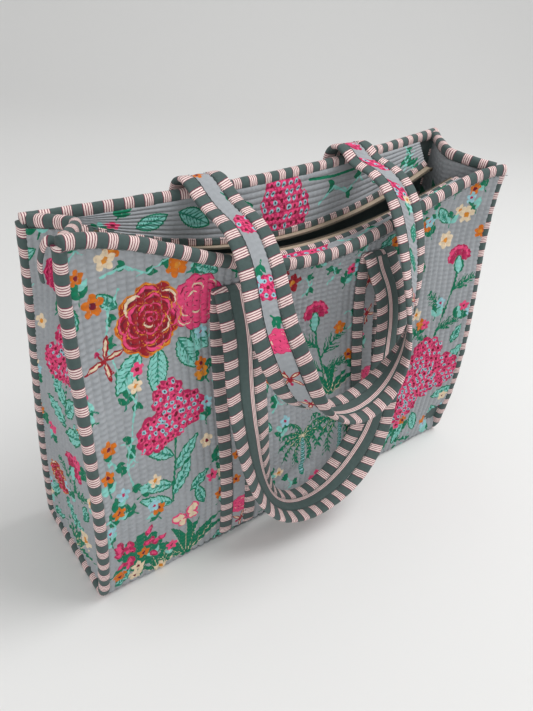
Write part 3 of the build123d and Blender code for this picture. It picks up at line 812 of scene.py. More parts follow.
class Nodes:
    """A short way to write a material's node tree."""

    def __init__(self, name):
        self.material = bpy.data.materials.new(name)
        self.material.use_nodes = True
        self.tree = self.material.node_tree
        self.tree.nodes.clear()
        self.output = self.tree.nodes.new("ShaderNodeOutputMaterial")

    def add(self, kind, inputs=None, **settings):
        node = self.tree.nodes.new(kind)
        for key, value in settings.items():
            setattr(node, key, value)
        for key, value in (inputs or {}).items():
            self.put(node.inputs[key], value)
        return node

    def put(self, socket, value):
        if isinstance(value, bpy.types.NodeSocket):
            self.tree.links.new(value, socket)
        else:
            socket.default_value = value

    def attribute(self, name):
        return self.add("ShaderNodeAttribute", attribute_name=name).outputs["Fac"]

    def math(self, operation, a, b=0.0):
        return self.add("ShaderNodeMath", {0: a, 1: b}, operation=operation).outputs[0]

    def ramp(self, value, low, high, out_low=0.0, out_high=1.0):
        inputs = {"Value": value, "From Min": low, "From Max": high, "To Min": out_low,
                  "To Max": out_high}
        return self.add("ShaderNodeMapRange", inputs).outputs[0]

    def blend(self, share, a, b, mode="MIX"):
        node = self.add("ShaderNodeMix", data_type="RGBA", blend_type=mode)
        self.put(node.inputs[0], share)
        self.put(node.inputs[6], a)
        self.put(node.inputs[7], b)
        return node.outputs[2]

    def tone(self, value):
        base = self.add("ShaderNodeRGB").outputs[0]
        base.default_value = value
        return base

    def noise(self, scale, detail):
        inputs = {"Scale": scale, "Detail": detail, "Vector": self.place()}
        return self.add("ShaderNodeTexNoise", inputs).outputs["Fac"]

    def place(self):
        return self.add("ShaderNodeTexCoord").outputs["Object"]

    def flat(self):
        return self.add("ShaderNodeUVMap", uv_map="Cloth").outputs["UV"]

    def weave(self, thread, vector):
        """Height of a plain weave of that thread, on flat coordinates in metres."""
        parts = []
        for direction in ("X", "Y"):
            wave = self.add("ShaderNodeTexWave", {"Vector": vector, "Scale": 0.05 / thread,
                                                  "Distortion": 1.2, "Detail": 1.0},
                            bands_direction=direction)
            parts.append(wave.outputs["Fac"])
        return self.math("MULTIPLY", parts[0], parts[1])

    def bump(self, height, strength, distance, before=None):
        inputs = {"Height": height, "Strength": strength, "Distance": distance}
        if before is not None:
            inputs["Normal"] = before
        return self.add("ShaderNodeBump", inputs).outputs["Normal"]

    def finish(self, base, normal=None, rough=0.85, metal=0.0, sheen=0.0):
        inputs = {"Base Color": base, "Roughness": rough, "Metallic": metal,
                  "Sheen Weight": sheen, "Sheen Roughness": 0.5,
                  "Specular IOR Level": 0.5 if metal else 0.25}
        shader = self.add("ShaderNodeBsdfPrincipled", inputs)
        if normal is not None:
            self.put(shader.inputs["Normal"], normal)
        self.tree.links.new(shader.outputs[0], self.output.inputs["Surface"])
        return self.material


def cloth_normal(nodes, thread=0.0006):
    """Fine weave and slubs on the cloth's own flat coordinates."""
    weave = nodes.weave(thread, nodes.flat())
    normal = nodes.bump(weave, 0.35, 0.0002)
    return nodes.bump(nodes.noise(420.0, 3.0), 0.25, 0.0006, normal)


def faded(nodes, base, amount):
    """Uneven dye: broad soft changes of tone with a finer mottle."""
    broad = nodes.noise(14.0, 2.0)
    fine = nodes.noise(260.0, 3.0)
    tone = nodes.math("ADD", nodes.math("MULTIPLY", broad, 0.5), nodes.math("MULTIPLY", fine, 0.5))
    tone = nodes.ramp(tone, 0.3, 0.7, 1.0 - amount, 1.0 + amount * 0.5)
    grey = nodes.add("ShaderNodeCombineColor", {0: tone, 1: tone, 2: tone}).outputs[0]
    return nodes.blend(1.0, base, grey, "MULTIPLY")


def printed_cotton(settings):
    nodes = Nodes("printed_cotton")
    tone = nodes.tone(settings.ground)
    around = nodes.math("SUBTRACT", nodes.noise(900.0, 2.0), 0.5)
    ragged = nodes.math("MULTIPLY", around, 0.0009)
    for ink in INKS:
        edge = nodes.math("ADD", nodes.attribute(ink), ragged)
        cover = nodes.ramp(edge, 0.00012, -0.00012)
        tone = nodes.blend(cover, tone, INK_COLOURS[ink])
    # The inner faces take the slate tone: painted shade, the inside of the bag coloured dark to
    # stand for its shadow
    lining = nodes.attribute("lining")
    tone = nodes.blend(lining, tone, settings.slate)
    return nodes.finish(faded(nodes, tone, 0.14), cloth_normal(nodes), 0.88, sheen=0.12)


def stripe_ramp(nodes, share, settings):
    """One repeat: a wide slate band, then pale bands between fine maroon lines."""
    ramp = nodes.add("ShaderNodeValToRGB", {"Fac": share})
    band = ramp.color_ramp
    stops = [(0.0, settings.slate)]
    wide = settings.slate_share
    pale = (1.0 - wide) / settings.pale_bands
    line = pale * 0.27
    soft = 0.008
    edge = wide
    for k in range(settings.pale_bands):
        stops.append((edge - soft, settings.slate if k == 0 else settings.cream))
        stops.append((edge, settings.maroon))
        stops.append((edge + line, settings.maroon))
        stops.append((edge + line + soft * 1.6, settings.cream))
        edge += pale
    stops.append((1.0 - line * 0.9, settings.cream))
    stops.append((1.0 - line * 0.6, settings.maroon))
    while len(band.elements) < len(stops):
        band.elements.new(1.0)
    for element, (position, _) in zip(band.elements, stops):
        element.position = position
    for element, (_, tone) in zip(band.elements, stops):
        element.color = tone
    return ramp.outputs["Color"]


def striped_binding(settings):
    nodes = Nodes("striped_binding")
    along = nodes.attribute("along")
    across = nodes.attribute("across")
    skew = nodes.math("MULTIPLY", across, 0.16)
    drift = nodes.math("MULTIPLY", nodes.noise(26.0, 1.0), 0.0045)
    fine = nodes.math("MULTIPLY", nodes.noise(380.0, 2.0), 0.0007)
    run = nodes.math("ADD", nodes.math("ADD", along, skew), nodes.math("ADD", drift, fine))
    share = nodes.math("FRACT", nodes.math("DIVIDE", run, settings.stripe_repeat))
    base = faded(nodes, stripe_ramp(nodes, share, settings), 0.2)
    return nodes.finish(base, cloth_normal(nodes, 0.0007), 0.9, sheen=0.1)


def slate_lining(settings):
    """The handle's reverse: a plain slate strip, painted shade of its fold, beside narrow
    lengthwise stripes.
    """
    nodes = Nodes("slate_lining")
    across = nodes.attribute("across")
    wander = nodes.math("MULTIPLY", nodes.noise(30.0, 1.0), 0.0012)
    place = nodes.math("ADD", across, wander)
    band = nodes.math("COMPARE", place, 0.0046)
    band.node.inputs[2].default_value = 0.0021
    lines = nodes.math("SINE", nodes.math("MULTIPLY", place, 2 * math.pi / 0.0015))
    light = nodes.ramp(lines, -0.5, -0.2)
    stripe = nodes.blend(light, settings.maroon, settings.cream)
    # Away from the stripes the reverse is plain slate: painted fold shade
    base = nodes.blend(band, settings.slate, stripe)
    return nodes.finish(faded(nodes, base, 0.2), cloth_normal(nodes, 0.0007), 0.9, sheen=0.1)


def tape_cloth(settings):
    nodes = Nodes("zip_tape")
    base = nodes.tone(settings.tape_tone)
    return nodes.finish(faded(nodes, base, 0.2), cloth_normal(nodes, 0.0005), 0.9, sheen=0.1)


def thread_finish(name, tone):
    """Twisted cotton thread."""
    nodes = Nodes(name)
    base = nodes.tone(tone)
    twist = nodes.add("ShaderNodeTexWave", {"Vector": nodes.place(), "Scale": 900.0,
                                            "Distortion": 2.0})
    return nodes.finish(faded(nodes, base, 0.2), nodes.bump(twist.outputs["Fac"], 0.3, 0.0001),
                        0.8, sheen=0.1)


def coil_finish(settings):
    nodes = Nodes("zip_coil")
    base = nodes.tone(settings.zip_tone)
    fine = nodes.noise(800.0, 2.0)
    return nodes.finish(faded(nodes, base, 0.12), nodes.bump(fine, 0.1, 0.0001), 0.5)


def cast_metal(settings):
    """Worn plated zinc: polished and dull in random patches, with fine pits."""
    nodes = Nodes("zip_metal")
    pits = nodes.noise(1400.0, 4.0)
    wear = nodes.ramp(nodes.noise(220.0, 3.0), 0.35, 0.65)
    base = nodes.blend(wear, settings.metal, colour(112, 100, 82))
    rough = nodes.ramp(wear, 0.0, 1.0, 0.28, 0.5)
    return nodes.finish(base, nodes.bump(pits, 0.25, 0.0001), rough, metal=1.0)


FINISHES = {
    "printed_cotton": printed_cotton, "striped_binding": striped_binding,
    "slate_lining": slate_lining, "zip_tape": tape_cloth, "zip_coil": coil_finish,
    "zip_metal": cast_metal,
    "quilting_thread": lambda tones: thread_finish("quilting_thread", tones.quilting_thread),
    "binding_thread": lambda tones: thread_finish("binding_thread", tones.slate_thread),
}
MATERIALS = {}


def material(name):
    """The named finish, made once from the panel's colours."""
    if name not in MATERIALS:
        MATERIALS[name] = FINISHES[name](bpy.context.scene.knitting_bag_cloth)
    return MATERIALS[name]


def dress(piece, finish, slot, body, *nodes):
    """Give a finished piece its material and its body, and hide the nodes it stands for; slot is
    not used.
    """
    if piece.data.materials:
        piece.data.materials[0] = material(finish)
    else:
        piece.data.materials.append(material(finish))
    nodes = [node for node in nodes if node]
    if nodes:
        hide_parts(*nodes)
    if body is not None:
        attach(piece, body)
    return piece


# ---- repeated stitches and teeth, as node trees ----
def along_path_tree(name, build_shape):
    """A tree that resamples its paths, sets build_shape's shape at each point and realizes it."""
    tree = bpy.data.node_groups.new(name, "GeometryNodeTree")
    face = tree.interface
    face.new_socket("Geometry", in_out="INPUT", socket_type="NodeSocketGeometry")
    for label, default in (("Spacing", 0.004), ("Length", 0.0025), ("Width", 0.0006),
                           ("Height", 0.0004), ("Jitter", 0.1)):
        socket = face.new_socket(label, in_out="INPUT", socket_type="NodeSocketFloat")
        socket.default_value = default
    face.new_socket("Seed", in_out="INPUT", socket_type="NodeSocketInt")
    face.new_socket("Finish", in_out="INPUT", socket_type="NodeSocketMaterial")
    face.new_socket("Geometry", in_out="OUTPUT", socket_type="NodeSocketGeometry")
    new = tree.nodes.new
    link = tree.links.new
    given = new("NodeGroupInput").outputs
    curve = new("GeometryNodeMeshToCurve")
    link(given["Geometry"], curve.inputs[0])
    even_points = new("GeometryNodeResampleCurve")
    even_points.mode = "LENGTH"
    link(curve.outputs[0], even_points.inputs["Curve"])
    link(given["Spacing"], even_points.inputs["Length"])
    tangent = new("GeometryNodeInputTangent")
    turn = new("FunctionNodeAlignRotationToVector")
    turn.axis = "X"
    link(tangent.outputs[0], turn.inputs["Vector"])
    shape = build_shape(tree)
    random = new("FunctionNodeRandomValue")
    random.data_type = "FLOAT"
    for operation, socket in (("SUBTRACT", random.inputs[2]), ("ADD", random.inputs[3])):
        bound = new("ShaderNodeMath")
        bound.operation = operation
        bound.inputs[0].default_value = 1.0
        link(given["Jitter"], bound.inputs[1])
        link(bound.outputs[0], socket)
    link(given["Seed"], random.inputs["Seed"])
    size = new("ShaderNodeCombineXYZ")
    long = new("ShaderNodeMath")
    long.operation = "MULTIPLY"
    link(given["Length"], long.inputs[0])
    link(random.outputs[1], long.inputs[1])
    link(long.outputs[0], size.inputs[0])
    link(given["Width"], size.inputs[1])
    link(given["Height"], size.inputs[2])
    place = new("GeometryNodeInstanceOnPoints")
    link(even_points.outputs[0], place.inputs["Points"])
    link(shape, place.inputs["Instance"])
    link(turn.outputs[0], place.inputs["Rotation"])
    link(size.outputs[0], place.inputs["Scale"])
    real = new("GeometryNodeRealizeInstances")
    link(place.outputs[0], real.inputs[0])
    paint = new("GeometryNodeSetMaterial")
    link(real.outputs[0], paint.inputs["Geometry"])
    link(given["Finish"], paint.inputs["Material"])
    link(paint.outputs[0], new("NodeGroupOutput").inputs[0])
    return tree


def thread_shape(tree):
    """A low rounded stitch, one unit long."""
    ball = tree.nodes.new("GeometryNodeMeshIcoSphere")
    ball.inputs["Radius"].default_value = 0.5
    ball.inputs["Subdivisions"].default_value = 1
    return ball.outputs["Mesh"]


def tooth_shape(tree):
    """One turn of the zip's coil, one unit long."""
    block = tree.nodes.new("GeometryNodeMeshCylinder")
    block.inputs["Vertices"].default_value = 8
    block.inputs["Radius"].default_value = 0.5
    block.inputs["Depth"].default_value = 1.0
    turn = tree.nodes.new("GeometryNodeTransform")
    turn.inputs["Rotation"].default_value = (math.pi / 2, 0.0, 0.0)
    tree.links.new(block.outputs["Mesh"], turn.inputs["Geometry"])
    return turn.outputs[0]


TREES = {}


def repeat_along(name, lines, shape, finish, spacing, length, width, height, jitter, seed):
    """A plain mesh of one shape repeated along each line of points."""
    if shape not in TREES:
        TREES[shape] = along_path_tree(shape.__name__, shape)
    tree = TREES[shape]
    mesh = bpy.data.meshes.new(name + "_path")
    points = np.concatenate(lines)
    edges = []
    start = 0
    for line in lines:
        edges += [(start + k, start + k + 1) for k in range(len(line) - 1)]
        start += len(line)
    mesh.from_pydata(points.tolist(), edges, [])
    holder = placed(name + "_path", mesh)
    modifier = holder.modifiers.new("Repeat", "NODES")
    modifier.node_group = tree
    values = {"Spacing": spacing, "Length": length, "Width": width, "Height": height,
              "Jitter": jitter, "Seed": seed, "Finish": material(finish)}
    for item in tree.interface.items_tree:
        if item.in_out == "INPUT" and item.name in values:
            modifier[item.identifier] = values[item.name]
    bpy.context.view_layer.update()
    evaluated = holder.evaluated_get(bpy.context.evaluated_depsgraph_get())
    result = bpy.data.meshes.new_from_object(evaluated)
    holder.modifiers.remove(modifier)
    bpy.data.objects.remove(holder)
    result.name = name
    return placed(name, result)


# ---- quilted cloth ----
def facing(points, direction):
    """The cloth on that grid with its outward side towards a direction."""
    normals = grid_normals(points)
    sign = 1.0 if (normals @ np.asarray(direction, float)).mean() > 0 else -1.0
    return Cloth(points, sign)


def quilting(cloth, seed, settings, high=None, soft=1.0):
    """Height of the pillows between the stitch rows, with broad soft unevenness over it."""
    high = settings.pillow_height if high is None else high
    columns = np.arange(cloth.points.shape[0])[:, None] / ROW_LINES
    row = np.floor(columns)
    pillow_shape = np.abs(np.sin(np.pi * columns)) ** 0.65
    drift = waviness(row, 9.0, seed, 0.45) + 0.22 * grain(row, 3.0, seed)
    wave = np.sin(2 * np.pi * (cloth.up / settings.pucker_spacing + drift))
    lift = 0.8 + 0.35 * grain(row, np.floor(cloth.up / 0.024), seed + 1)
    height = high * (pillow_shape * (0.66 + 0.34 * wave) * lift - 0.45)
    broad = waviness(cloth.up + 0.4 * cloth.across, 0.11, seed + 2) * 0.0013
    broad = broad + waviness(cloth.across, 0.085, seed + 3) * 0.0009
    return height + soft * broad


EDGE_REACH = 0.007  # how far from a cut edge the cloth is drawn in
STITCH_MARGIN = 0.004  # bare cloth at each end of a row of stitches
STITCH_SINK = 0.0001  # how deep a stitch lies in the cloth
QUILTING_STITCH = (0.0006, 0.0005, 0.15)  # width, height, unevenness
TUCK = 0.0025  # cloth hidden inside the side bindings
WRAP_THICK = QUILT - 0.0006
BASE_THICK = QUILT - 0.0004


def rolled_edges(cloth, height, low=False, high=False, depth=0.0022):
    """The cloth drawn in towards its lower or upper edge."""
    if low:
        height = height - depth * np.clip(1 - cloth.up / EDGE_REACH, 0, 1) ** 2
    if high:
        left = cloth.up[:, -1:] - cloth.up
        height = height - depth * np.clip(1 - left / EDGE_REACH, 0, 1) ** 2
    return height


def stitch_rows(cloth, height):
    """The lines of stitching, one at each row of quilting."""
    face = cloth.raised(height - STITCH_SINK)
    lines = []
    for column in range(ROW_LINES, cloth.points.shape[0] - ROW_LINES, ROW_LINES):
        up = cloth.up[column]
        keep = (up > STITCH_MARGIN) & (up < up[-1] - STITCH_MARGIN)
        if keep.sum() > 2:
            lines.append(face[column][keep])
    return lines


def quilted_piece(name, cloth, height, thick, page, node, settings, seed):
    """A padded printed piece with its rows of stitching."""
    piece = cloth.shell(name, height, thick, page)
    dress(piece, "printed_cotton", "printed_cotton", "bag", node)
    thread = repeat_along(name + "_quilting", stitch_rows(cloth, height), thread_shape,
                          "quilting_thread", settings.stitch_spacing, settings.stitch_length,
                          *QUILTING_STITCH, seed)
    dress(thread, "quilting_thread", "printed_cotton", "bag")


def across_wrap(rows):
    return np.linspace(-EDGE - TUCK, EDGE + TUCK, ROW_LINES * rows + 1)


def wall_cloth(poles, rows, direction):
    columns = []
    for x in across_wrap(rows):
        columns.append(even(wall_curve(poles, x, np.linspace(0, 1, 90)), WALL_LINES))
    return facing(np.array(columns), direction)


def scatter(page, low, high, taken, seed, step=21.0):
    """Small sprigs, vines and blossoms wherever no larger flower is."""
    rng = np.random.default_rng(seed)
    y = low[1]
    while y < high[1]:
        x = low[0]
        while x < high[0]:
            px = x + rng.uniform(-7, 7)
            py = y + rng.uniform(-7, 7)
            kind = rng.integers(7)
            free = all(math.hypot(px - tx, py - ty) > reach + 7 for tx, ty, reach in taken)
            if free and kind < 3:
                sprig(page, px, py, rng.uniform(0.2, 2.9), 22, seed + int(x + 7 * y + 300))
            elif free and kind == 3:
                vine(page, [(px - 5, py - 9), (px + 3, py), (px - 2, py + 10)],
                     seed + int(x + 5 * y + 300))
            elif free and kind == 4:
                leaf(page, px - 4, py - 5, rng.uniform(0.3, 2.8), 27, 13)
            elif free and kind == 5:
                small_flower(page, px, py, 8.5, "cream" if rng.random() < 0.5 else "orange",
                             "gold" if rng.random() < 0.5 else "wine")
            x += step
        y += step


def front_print(page):
    """The flowers of the front wall, in millimetres across from its middle and up the cloth."""
    taken = [(-166, 272, 30), (-122, 270, 24), (-158, 228, 26), (-152, 176, 34), (-160, 118, 24),
             (-152, 64, 16), (-210, 252, 14), (-196, 320, 22), (-206, 50, 18), (-132, 26, 18),
             (18, 214, 24), (20, 178, 26), (38, 146, 22), (34, 92, 46), (24, 20, 12),
             (204, 249, 22), (190, 210, 22), (178, 86, 34), (144, 72, 26), (212, 104, 24),
             (-26, 256, 18), (108, 217, 22), (180, 140, 22), (-8, 60, 20), (-34, 180, 30)]
    rose(page, -166, 272, 31, 3)
    pink_rose(page, -120, 274, 25, 5)
    for x, y, turn, long, wide in ((-178, 248, -2.3, 40, 23), (-160, 244, -1.75, 42, 24),
                                   (-140, 246, -1.1, 38, 22), (-126, 250, -0.9, 30, 18),
                                   (-194, 290, 2.4, 24, 12)):
        leaf(page, x, y, turn, long, wide)
    hydrangea(page, -152, 172, 40, 11)
    stem(page, [(-152, 158), (-156, 132), (-160, 108), (-161, 88)], 2.4)
    for x, y, turn in ((-157, 138, 2.5), (-157, 122, 0.75), (-160, 108, 2.75), (-161, 96, 0.95),
                       (-162, 88, 2.6)):
        leaf(page, x, y, turn, 40, 15)
    butterfly(page, -146, 60, 23, 0.3, "cream", "pink")
    dragonfly(page, -210, 252, 21, 0.9)
    vine(page, [(-192, 305), (-203, 286), (-207, 262), (-198, 232), (-188, 206), (-196, 175),
                (-204, 150), (-200, 128)], 21)
    vine(page, [(-206, 318), (-186, 322), (-168, 312), (-150, 320)], 22)
    butterfly(page, -118, 204, 11, 0.2, "cream", "gold")
    tulip_spray(page, -198, 44, 34, 31)
    sword_leaves(page, -146, 4, 58, 7, 41, 1.35)
    sword_leaves(page, -178, 2, 34, 6, 42)
    stem(page, [(18, 212), (22, 188), (26, 168), (30, 148)], 2.4)
    carnation(page, 18, 221, 24, 1.55, 51)
    for x, y, turn, long, bend in ((24, 182, 2.35, 36, 0.3), (26, 172, 0.85, 38, -0.3),
                                   (28, 156, 2.6, 30, 0.3), (28, 152, 0.5, 30, -0.3)):
        frond(page, x, y, turn, long, 52, bend)
    sword_leaves(page, 38, 126, 40, 6, 55, 1.4)
    palm(page, 52, 34, 100, 61)
    palm(page, 0, 40, 78, 62)
    carnation(page, 204, 249, 24, 1.7, 71)
    stem(page, [(204, 240), (202, 215), (192, 180), (182, 150), (178, 118)], 2.6)
    for x, y, turn, long in ((200, 212, 0.6, 30), (194, 190, 2.5, 32), (186, 166, 0.4, 28),
                             (182, 150, 2.7, 26)):
        frond(page, x, y, turn, long, 72, -0.2)
    hydrangea(page, 182, 100, 56, 81)
    hydrangea(page, 146, 66, 32, 85)
    for x, y, turn in ((206, 112, 0.9), (160, 50, -1.9), (172, 56, -1.2), (206, 54, -1.0),
                       (200, 70, 0.2), (142, 40, -2.3)):
        leaf(page, x, y, turn, 38, 16)
    pink_rose(page, 108, 217, 19, 91)
    leaf(page, 96, 205, -2.2, 34, 17)
    leaf(page, 118, 204, -0.9, 34, 17)
    rose(page, -34, 186, 22, 95)
    leaf(page, -42, 170, -2.2, 32, 16)
    leaf(page, -24, 170, -1.0, 32, 16)
    for x, y, size, petals, heart, count in (
            (-214, 298, 11, "orange", "wine", 5), (-202, 331, 10, "cream", "gold", 5),
            (-196, 338, 9, "orange", "gold", 5), (-140, 312, 12, "orange", "gold", 6),
            (24, 22, 12, "pink", "sky", 5), (42, 12, 9, "sky", "magenta", 5),
            (4, 12, 8, "orange", "wine", 5), (202, 298, 11, "cream", "gold", 5),
            (182, 272, 11, "cream", "gold", 6), (150, 292, 10, "orange", "wine", 5),
            (-34, 251, 12, "crimson", "gold", 5), (-16, 264, 12, "crimson", "gold", 5),
            (-32, 274, 12, "crimson", "gold", 5)):
        small_flower(page, x, y, size, petals, heart, count)
    scatter(page, (-222, 8), (222, 348), taken, 7)


def side_print(page, seed):
    """The gussets' print: the same flowers, in one column."""
    rose(page, -16, 292, 16, seed, "magenta", outlined=False)
    vine(page, [(20, 320), (26, 296), (12, 276), (20, 256)], seed)
    stem(page, [(8, 230), (6, 200), (2, 172), (4, 150)], 2.4)
    hydrangea(page, 2, 216, 36, seed + 1)
    for x, y, turn in ((4, 176, 2.4), (4, 172, 0.8), (3, 156, 2.7), (4, 150, 0.5)):
        leaf(page, x, y, turn, 38, 18)
    carnation(page, 12, 118, 24, 1.3, seed + 2)
    stem(page, [(14, 108), (10, 92), (2, 72)], 2.2)
    frond(page, 8, 92, 2.5, 28, seed + 3)
    frond(page, 8, 86, 0.7, 28, seed + 4, -0.3)
    rose(page, -22, 74, 17, seed + 5)
    leaf(page, -26, 58, -2.2, 30, 15)
    leaf(page, -10, 60, -1.0, 30, 15)
    small_flower(page, 24, 40, 12, "cream", "gold")
    sword_leaves(page, 8, 4, 40, 6, seed + 6)
    taken = [(-16, 288, 22), (18, 290, 18), (2, 210, 40), (2, 160, 34), (12, 108, 28),
             (-20, 70, 24), (10, 20, 24)]
    scatter(page, (-56, 8), (56, 340), taken, seed)


# A soft crease low on the front wall, and the dent at its lower right corner. Heights are up
# the cloth, places are from its middle.
CREASE_UP = 0.047
CREASE_SWAY = 0.006
CREASE_WAVE = 18
CREASE_TALL = 0.006
CREASE_DEEP = 0.0035
CREASE_MIDDLE = -0.01
CREASE_HALF = 0.075
DENT_UP = 0.032
DENT_TALL = 0.013
DENT_DEEP = 0.009
DENT_START = 0.196
DENT_RUN = 0.026


def creased(cloth, height):
    """The front wall's heights with its crease and its dent pressed in."""
    sway = CREASE_SWAY * np.sin(cloth.across * CREASE_WAVE)
    crease = np.exp(-((cloth.up - CREASE_UP - sway) / CREASE_TALL) ** 2)
    away = np.abs(cloth.across - CREASE_MIDDLE)
    height = height - CREASE_DEEP * crease * np.clip(1 - away / CREASE_HALF, 0, 1)
    dent = np.exp(-((cloth.up - DENT_UP) / DENT_TALL) ** 2)
    return height - DENT_DEEP * dent * np.clip((cloth.across - DENT_START) / DENT_RUN, 0, 1)


def base_cloth(rows):
    columns = []
    for x in across_wrap(rows):
        y = np.linspace(-DEPTH / 2, DEPTH / 2, BASE_LINES)
        columns.append(np.stack([np.full_like(y, x), y, np.zeros_like(y)], axis=-1))
    return facing(np.array(columns), (0, 0, -1))


class MakeWrap(bpy.types.Operator):
    """The front wall, base and back wall, cut as one length of quilted cloth"""
    bl_idname = "knitting_bag.wrap"
    bl_label = "Quilted wrap"

    def execute(self, context):
        settings = context.scene.knitting_bag_cloth
        rows = round(2 * EDGE / settings.row_spacing)
        front = wall_cloth(front_poles, rows, (0, -1, 0))
        height = creased(front, rolled_edges(front, quilting(front, 5, settings), low=True))
        page = Page(front.across, front.up)
        front_print(page)
        quilted_piece("front_wall", front, height, WRAP_THICK, page, "wrap_panel", settings, 1)

        back = wall_cloth(back_poles, rows, (0, 1, 0))
        height = rolled_edges(back, quilting(back, 6, settings), low=True)
        page = Page(-back.across, back.up)
        garden(page, (-215, 12), (215, 340), 17)
        scatter(page, (-222, 8), (222, 348), [], 19, 34.0)
        quilted_piece("back_wall", back, height, WRAP_THICK, page, "wrap_panel", settings, 2)

        base = base_cloth(rows)
        height = quilting(base, 8, settings, soft=0.0)
        height = rolled_edges(base, height - height.max(), low=True, high=True, depth=0.001)
        page = Page(base.across, base.up)
        garden(page, (-215, 10), (215, 116), 27)
        quilted_piece("base", base, height, BASE_THICK, page, "wrap_panel", settings, 3)
        return {"FINISHED"}


def shifted_curve(poles, x, distance, shares):
    """Points of the wall's line at x moved sideways, to the left of the way up."""
    line = wall_curve(poles, x, shares)
    along = tangents(line)
    normal = np.stack([np.zeros(len(line)), -along[:, 2], along[:, 1]], axis=-1)
    return line + distance * normal


def seam_line(poles, side, inward, bottom=0.0, count=60):
    """The side seam up one wall from bottom, at the middle of the cloth."""
    line = shifted_curve(poles, side * EDGE, inward * QUILT / 2, np.linspace(0, 1, 80))
    line[:, 0] = side * HALF
    line[:, 2] = np.maximum(line[:, 2], 0.0)
    line = line[line[:, 2] >= bottom]
    return even(line, count)


GUSSET_FOOT = 0.0095  # a gusset's lower edge, above the floor
GUSSET_TUCK = SEAM_RADIUS - 0.0006  # from the side seams in to a gusset's edges
GUSSET_RAISE = 0.0006
GUSSET_THICK = GUSSET_QUILT - 0.0008
FACING_THICK = 0.0008
FACING_PILLOW = 0.001
FACING_LEAVES = 9


def fold_share(t):
    """A gusset's way in across its width: 0 at its edges, 1 midway."""
    return 1 - np.abs(2 * t - 1) ** 1.35


def gusset_grid(side):
    """The grid between the two side seams, folded inwards towards the top."""
    front = seam_line(front_poles, side, -1, GUSSET_FOOT, GUSSET_LINES)
    back = seam_line(back_poles, side, 1, GUSSET_FOOT, GUSSET_LINES)
    front = front + np.array([0, GUSSET_TUCK, 0])
    back = back - np.array([0, GUSSET_TUCK, 0])
    t = np.linspace(0, 1, 14 * ROW_LINES + 1)[:, None, None]
    points = mix(front[None], back[None], t)
    risen = np.clip(points[..., 2] - FOLD_START, 0, 1) / (front[-1, 2] - FOLD_START)
    points[..., 0] = side * (HALF - FOLD_IN * risen ** 1.2 * fold_share(t[..., 0]))
    return points


class MakeGussets(bpy.types.Operator):
    """The two side panels, folded inwards at the top"""
    bl_idname = "knitting_bag.gussets"
    bl_label = "Quilted gussets"

    def execute(self, context):
        settings = context.scene.knitting_bag_cloth
        for name, side in SIDES:
            points = gusset_grid(side)
            cloth = facing(points, (side, 0, 0))
            height = quilting(cloth, 12 + side, settings) + GUSSET_RAISE
            page = Page(cloth.across * side, cloth.up)
            side_print(page, 130 + side * 20)
            quilted_piece(name + "_gusset_cloth", cloth, height, GUSSET_THICK, page,
                          name + "_gusset", settings, 20 + side)
            inner = points - cloth.normals * (GUSSET_QUILT - 0.0002)
            facing_cloth = facing(inner[:, -FACING_LINES:], (-side, 0, 0.2))
            height = quilting(facing_cloth, 15 + side, settings, FACING_PILLOW, 0.0)
            page = Page(facing_cloth.across, facing_cloth.up)
            for k in range(FACING_LEAVES):
                leaf(page, 6 + 12 * math.cos(2 * k), 46 + 20 * math.sin(3 * k), 0.4 + 0.62 * k,
                     40, 17, body="green")
            facing_piece = facing_cloth.shell(name + "_gusset_facing", height, FACING_THICK, page)
            dress(facing_piece, "printed_cotton", "printed_cotton", "bag", name + "_gusset")
        return {"FINISHED"}


# ---- bindings and webbing ----
def frames_along(line, towards):
    """Side and face directions along a line, the face turned towards a direction."""
    along = tangents(line)
    face = np.asarray(towards, float) - along * (along @ np.asarray(towards, float))[:, None]
    face = unit(face)
    return np.cross(along, face), face


def rolled_binding(name, line, wide, deep, node, seed, towards=(0, 0, 1)):
    """A rolled strip of striped cloth, a little uneven where it was turned in by hand."""
    side, face = frames_along(line, towards)
    along = lengths_along(line)
    swell = 1 + waviness(along, 0.035, seed, 0.07) + waviness(along, 0.009, seed + 1, 0.035)
    outline = pillow(wide, deep, 0.85) * swell[:, None, None]
    piece = sweep(name, line, side, face, outline, start=0.003 * seed)
    dress(piece, "striped_binding", "striped_binding", "bag", node)


RIM_OVERRUN = 0.001  # how far a rim binding runs past the side seams
RIM_SINK = 0.0012  # how far it sits down over the cut edge


def rim_line(poles, inward, count=180):
    """The rim binding's centre line, on the wall's own line above its cut edge."""
    points = []
    for x in np.linspace(-HALF - RIM_OVERRUN, HALF + RIM_OVERRUN, 44):
        curve = shifted_curve(poles, x, inward * QUILT / 2, np.linspace(0.9, 1.0, 6))
        up = unit(curve[-1] - curve[-2])
        points.append(curve[-1] + up * (SEAM_RADIUS - RIM_SINK))
    return smooth_line(points, count)


# Widths and depths of the rolled bindings, and the hand stitches along them as spacing,
# length, width, height and unevenness.
RIM_BINDING = (0.0092, 0.0112)
SEAM_BINDING = (0.0108, 0.0098)
GUSSET_BINDING = (0.0092, 0.0106)
RIM_STITCH = (0.0052, 0.0034, 0.0008, 0.0007, 0.12)
RIM_STITCH_DOWN = 0.0042
RIM_STITCH_OUT = 0.0047
SEAM_FLOOR = SEAM_RADIUS * 1.06  # least height of a seam binding's middle above the floor
SEAM_RISE = 0.003  # how far a seam binding runs up into the rim's
GUSSET_BINDING_IN = 0.001


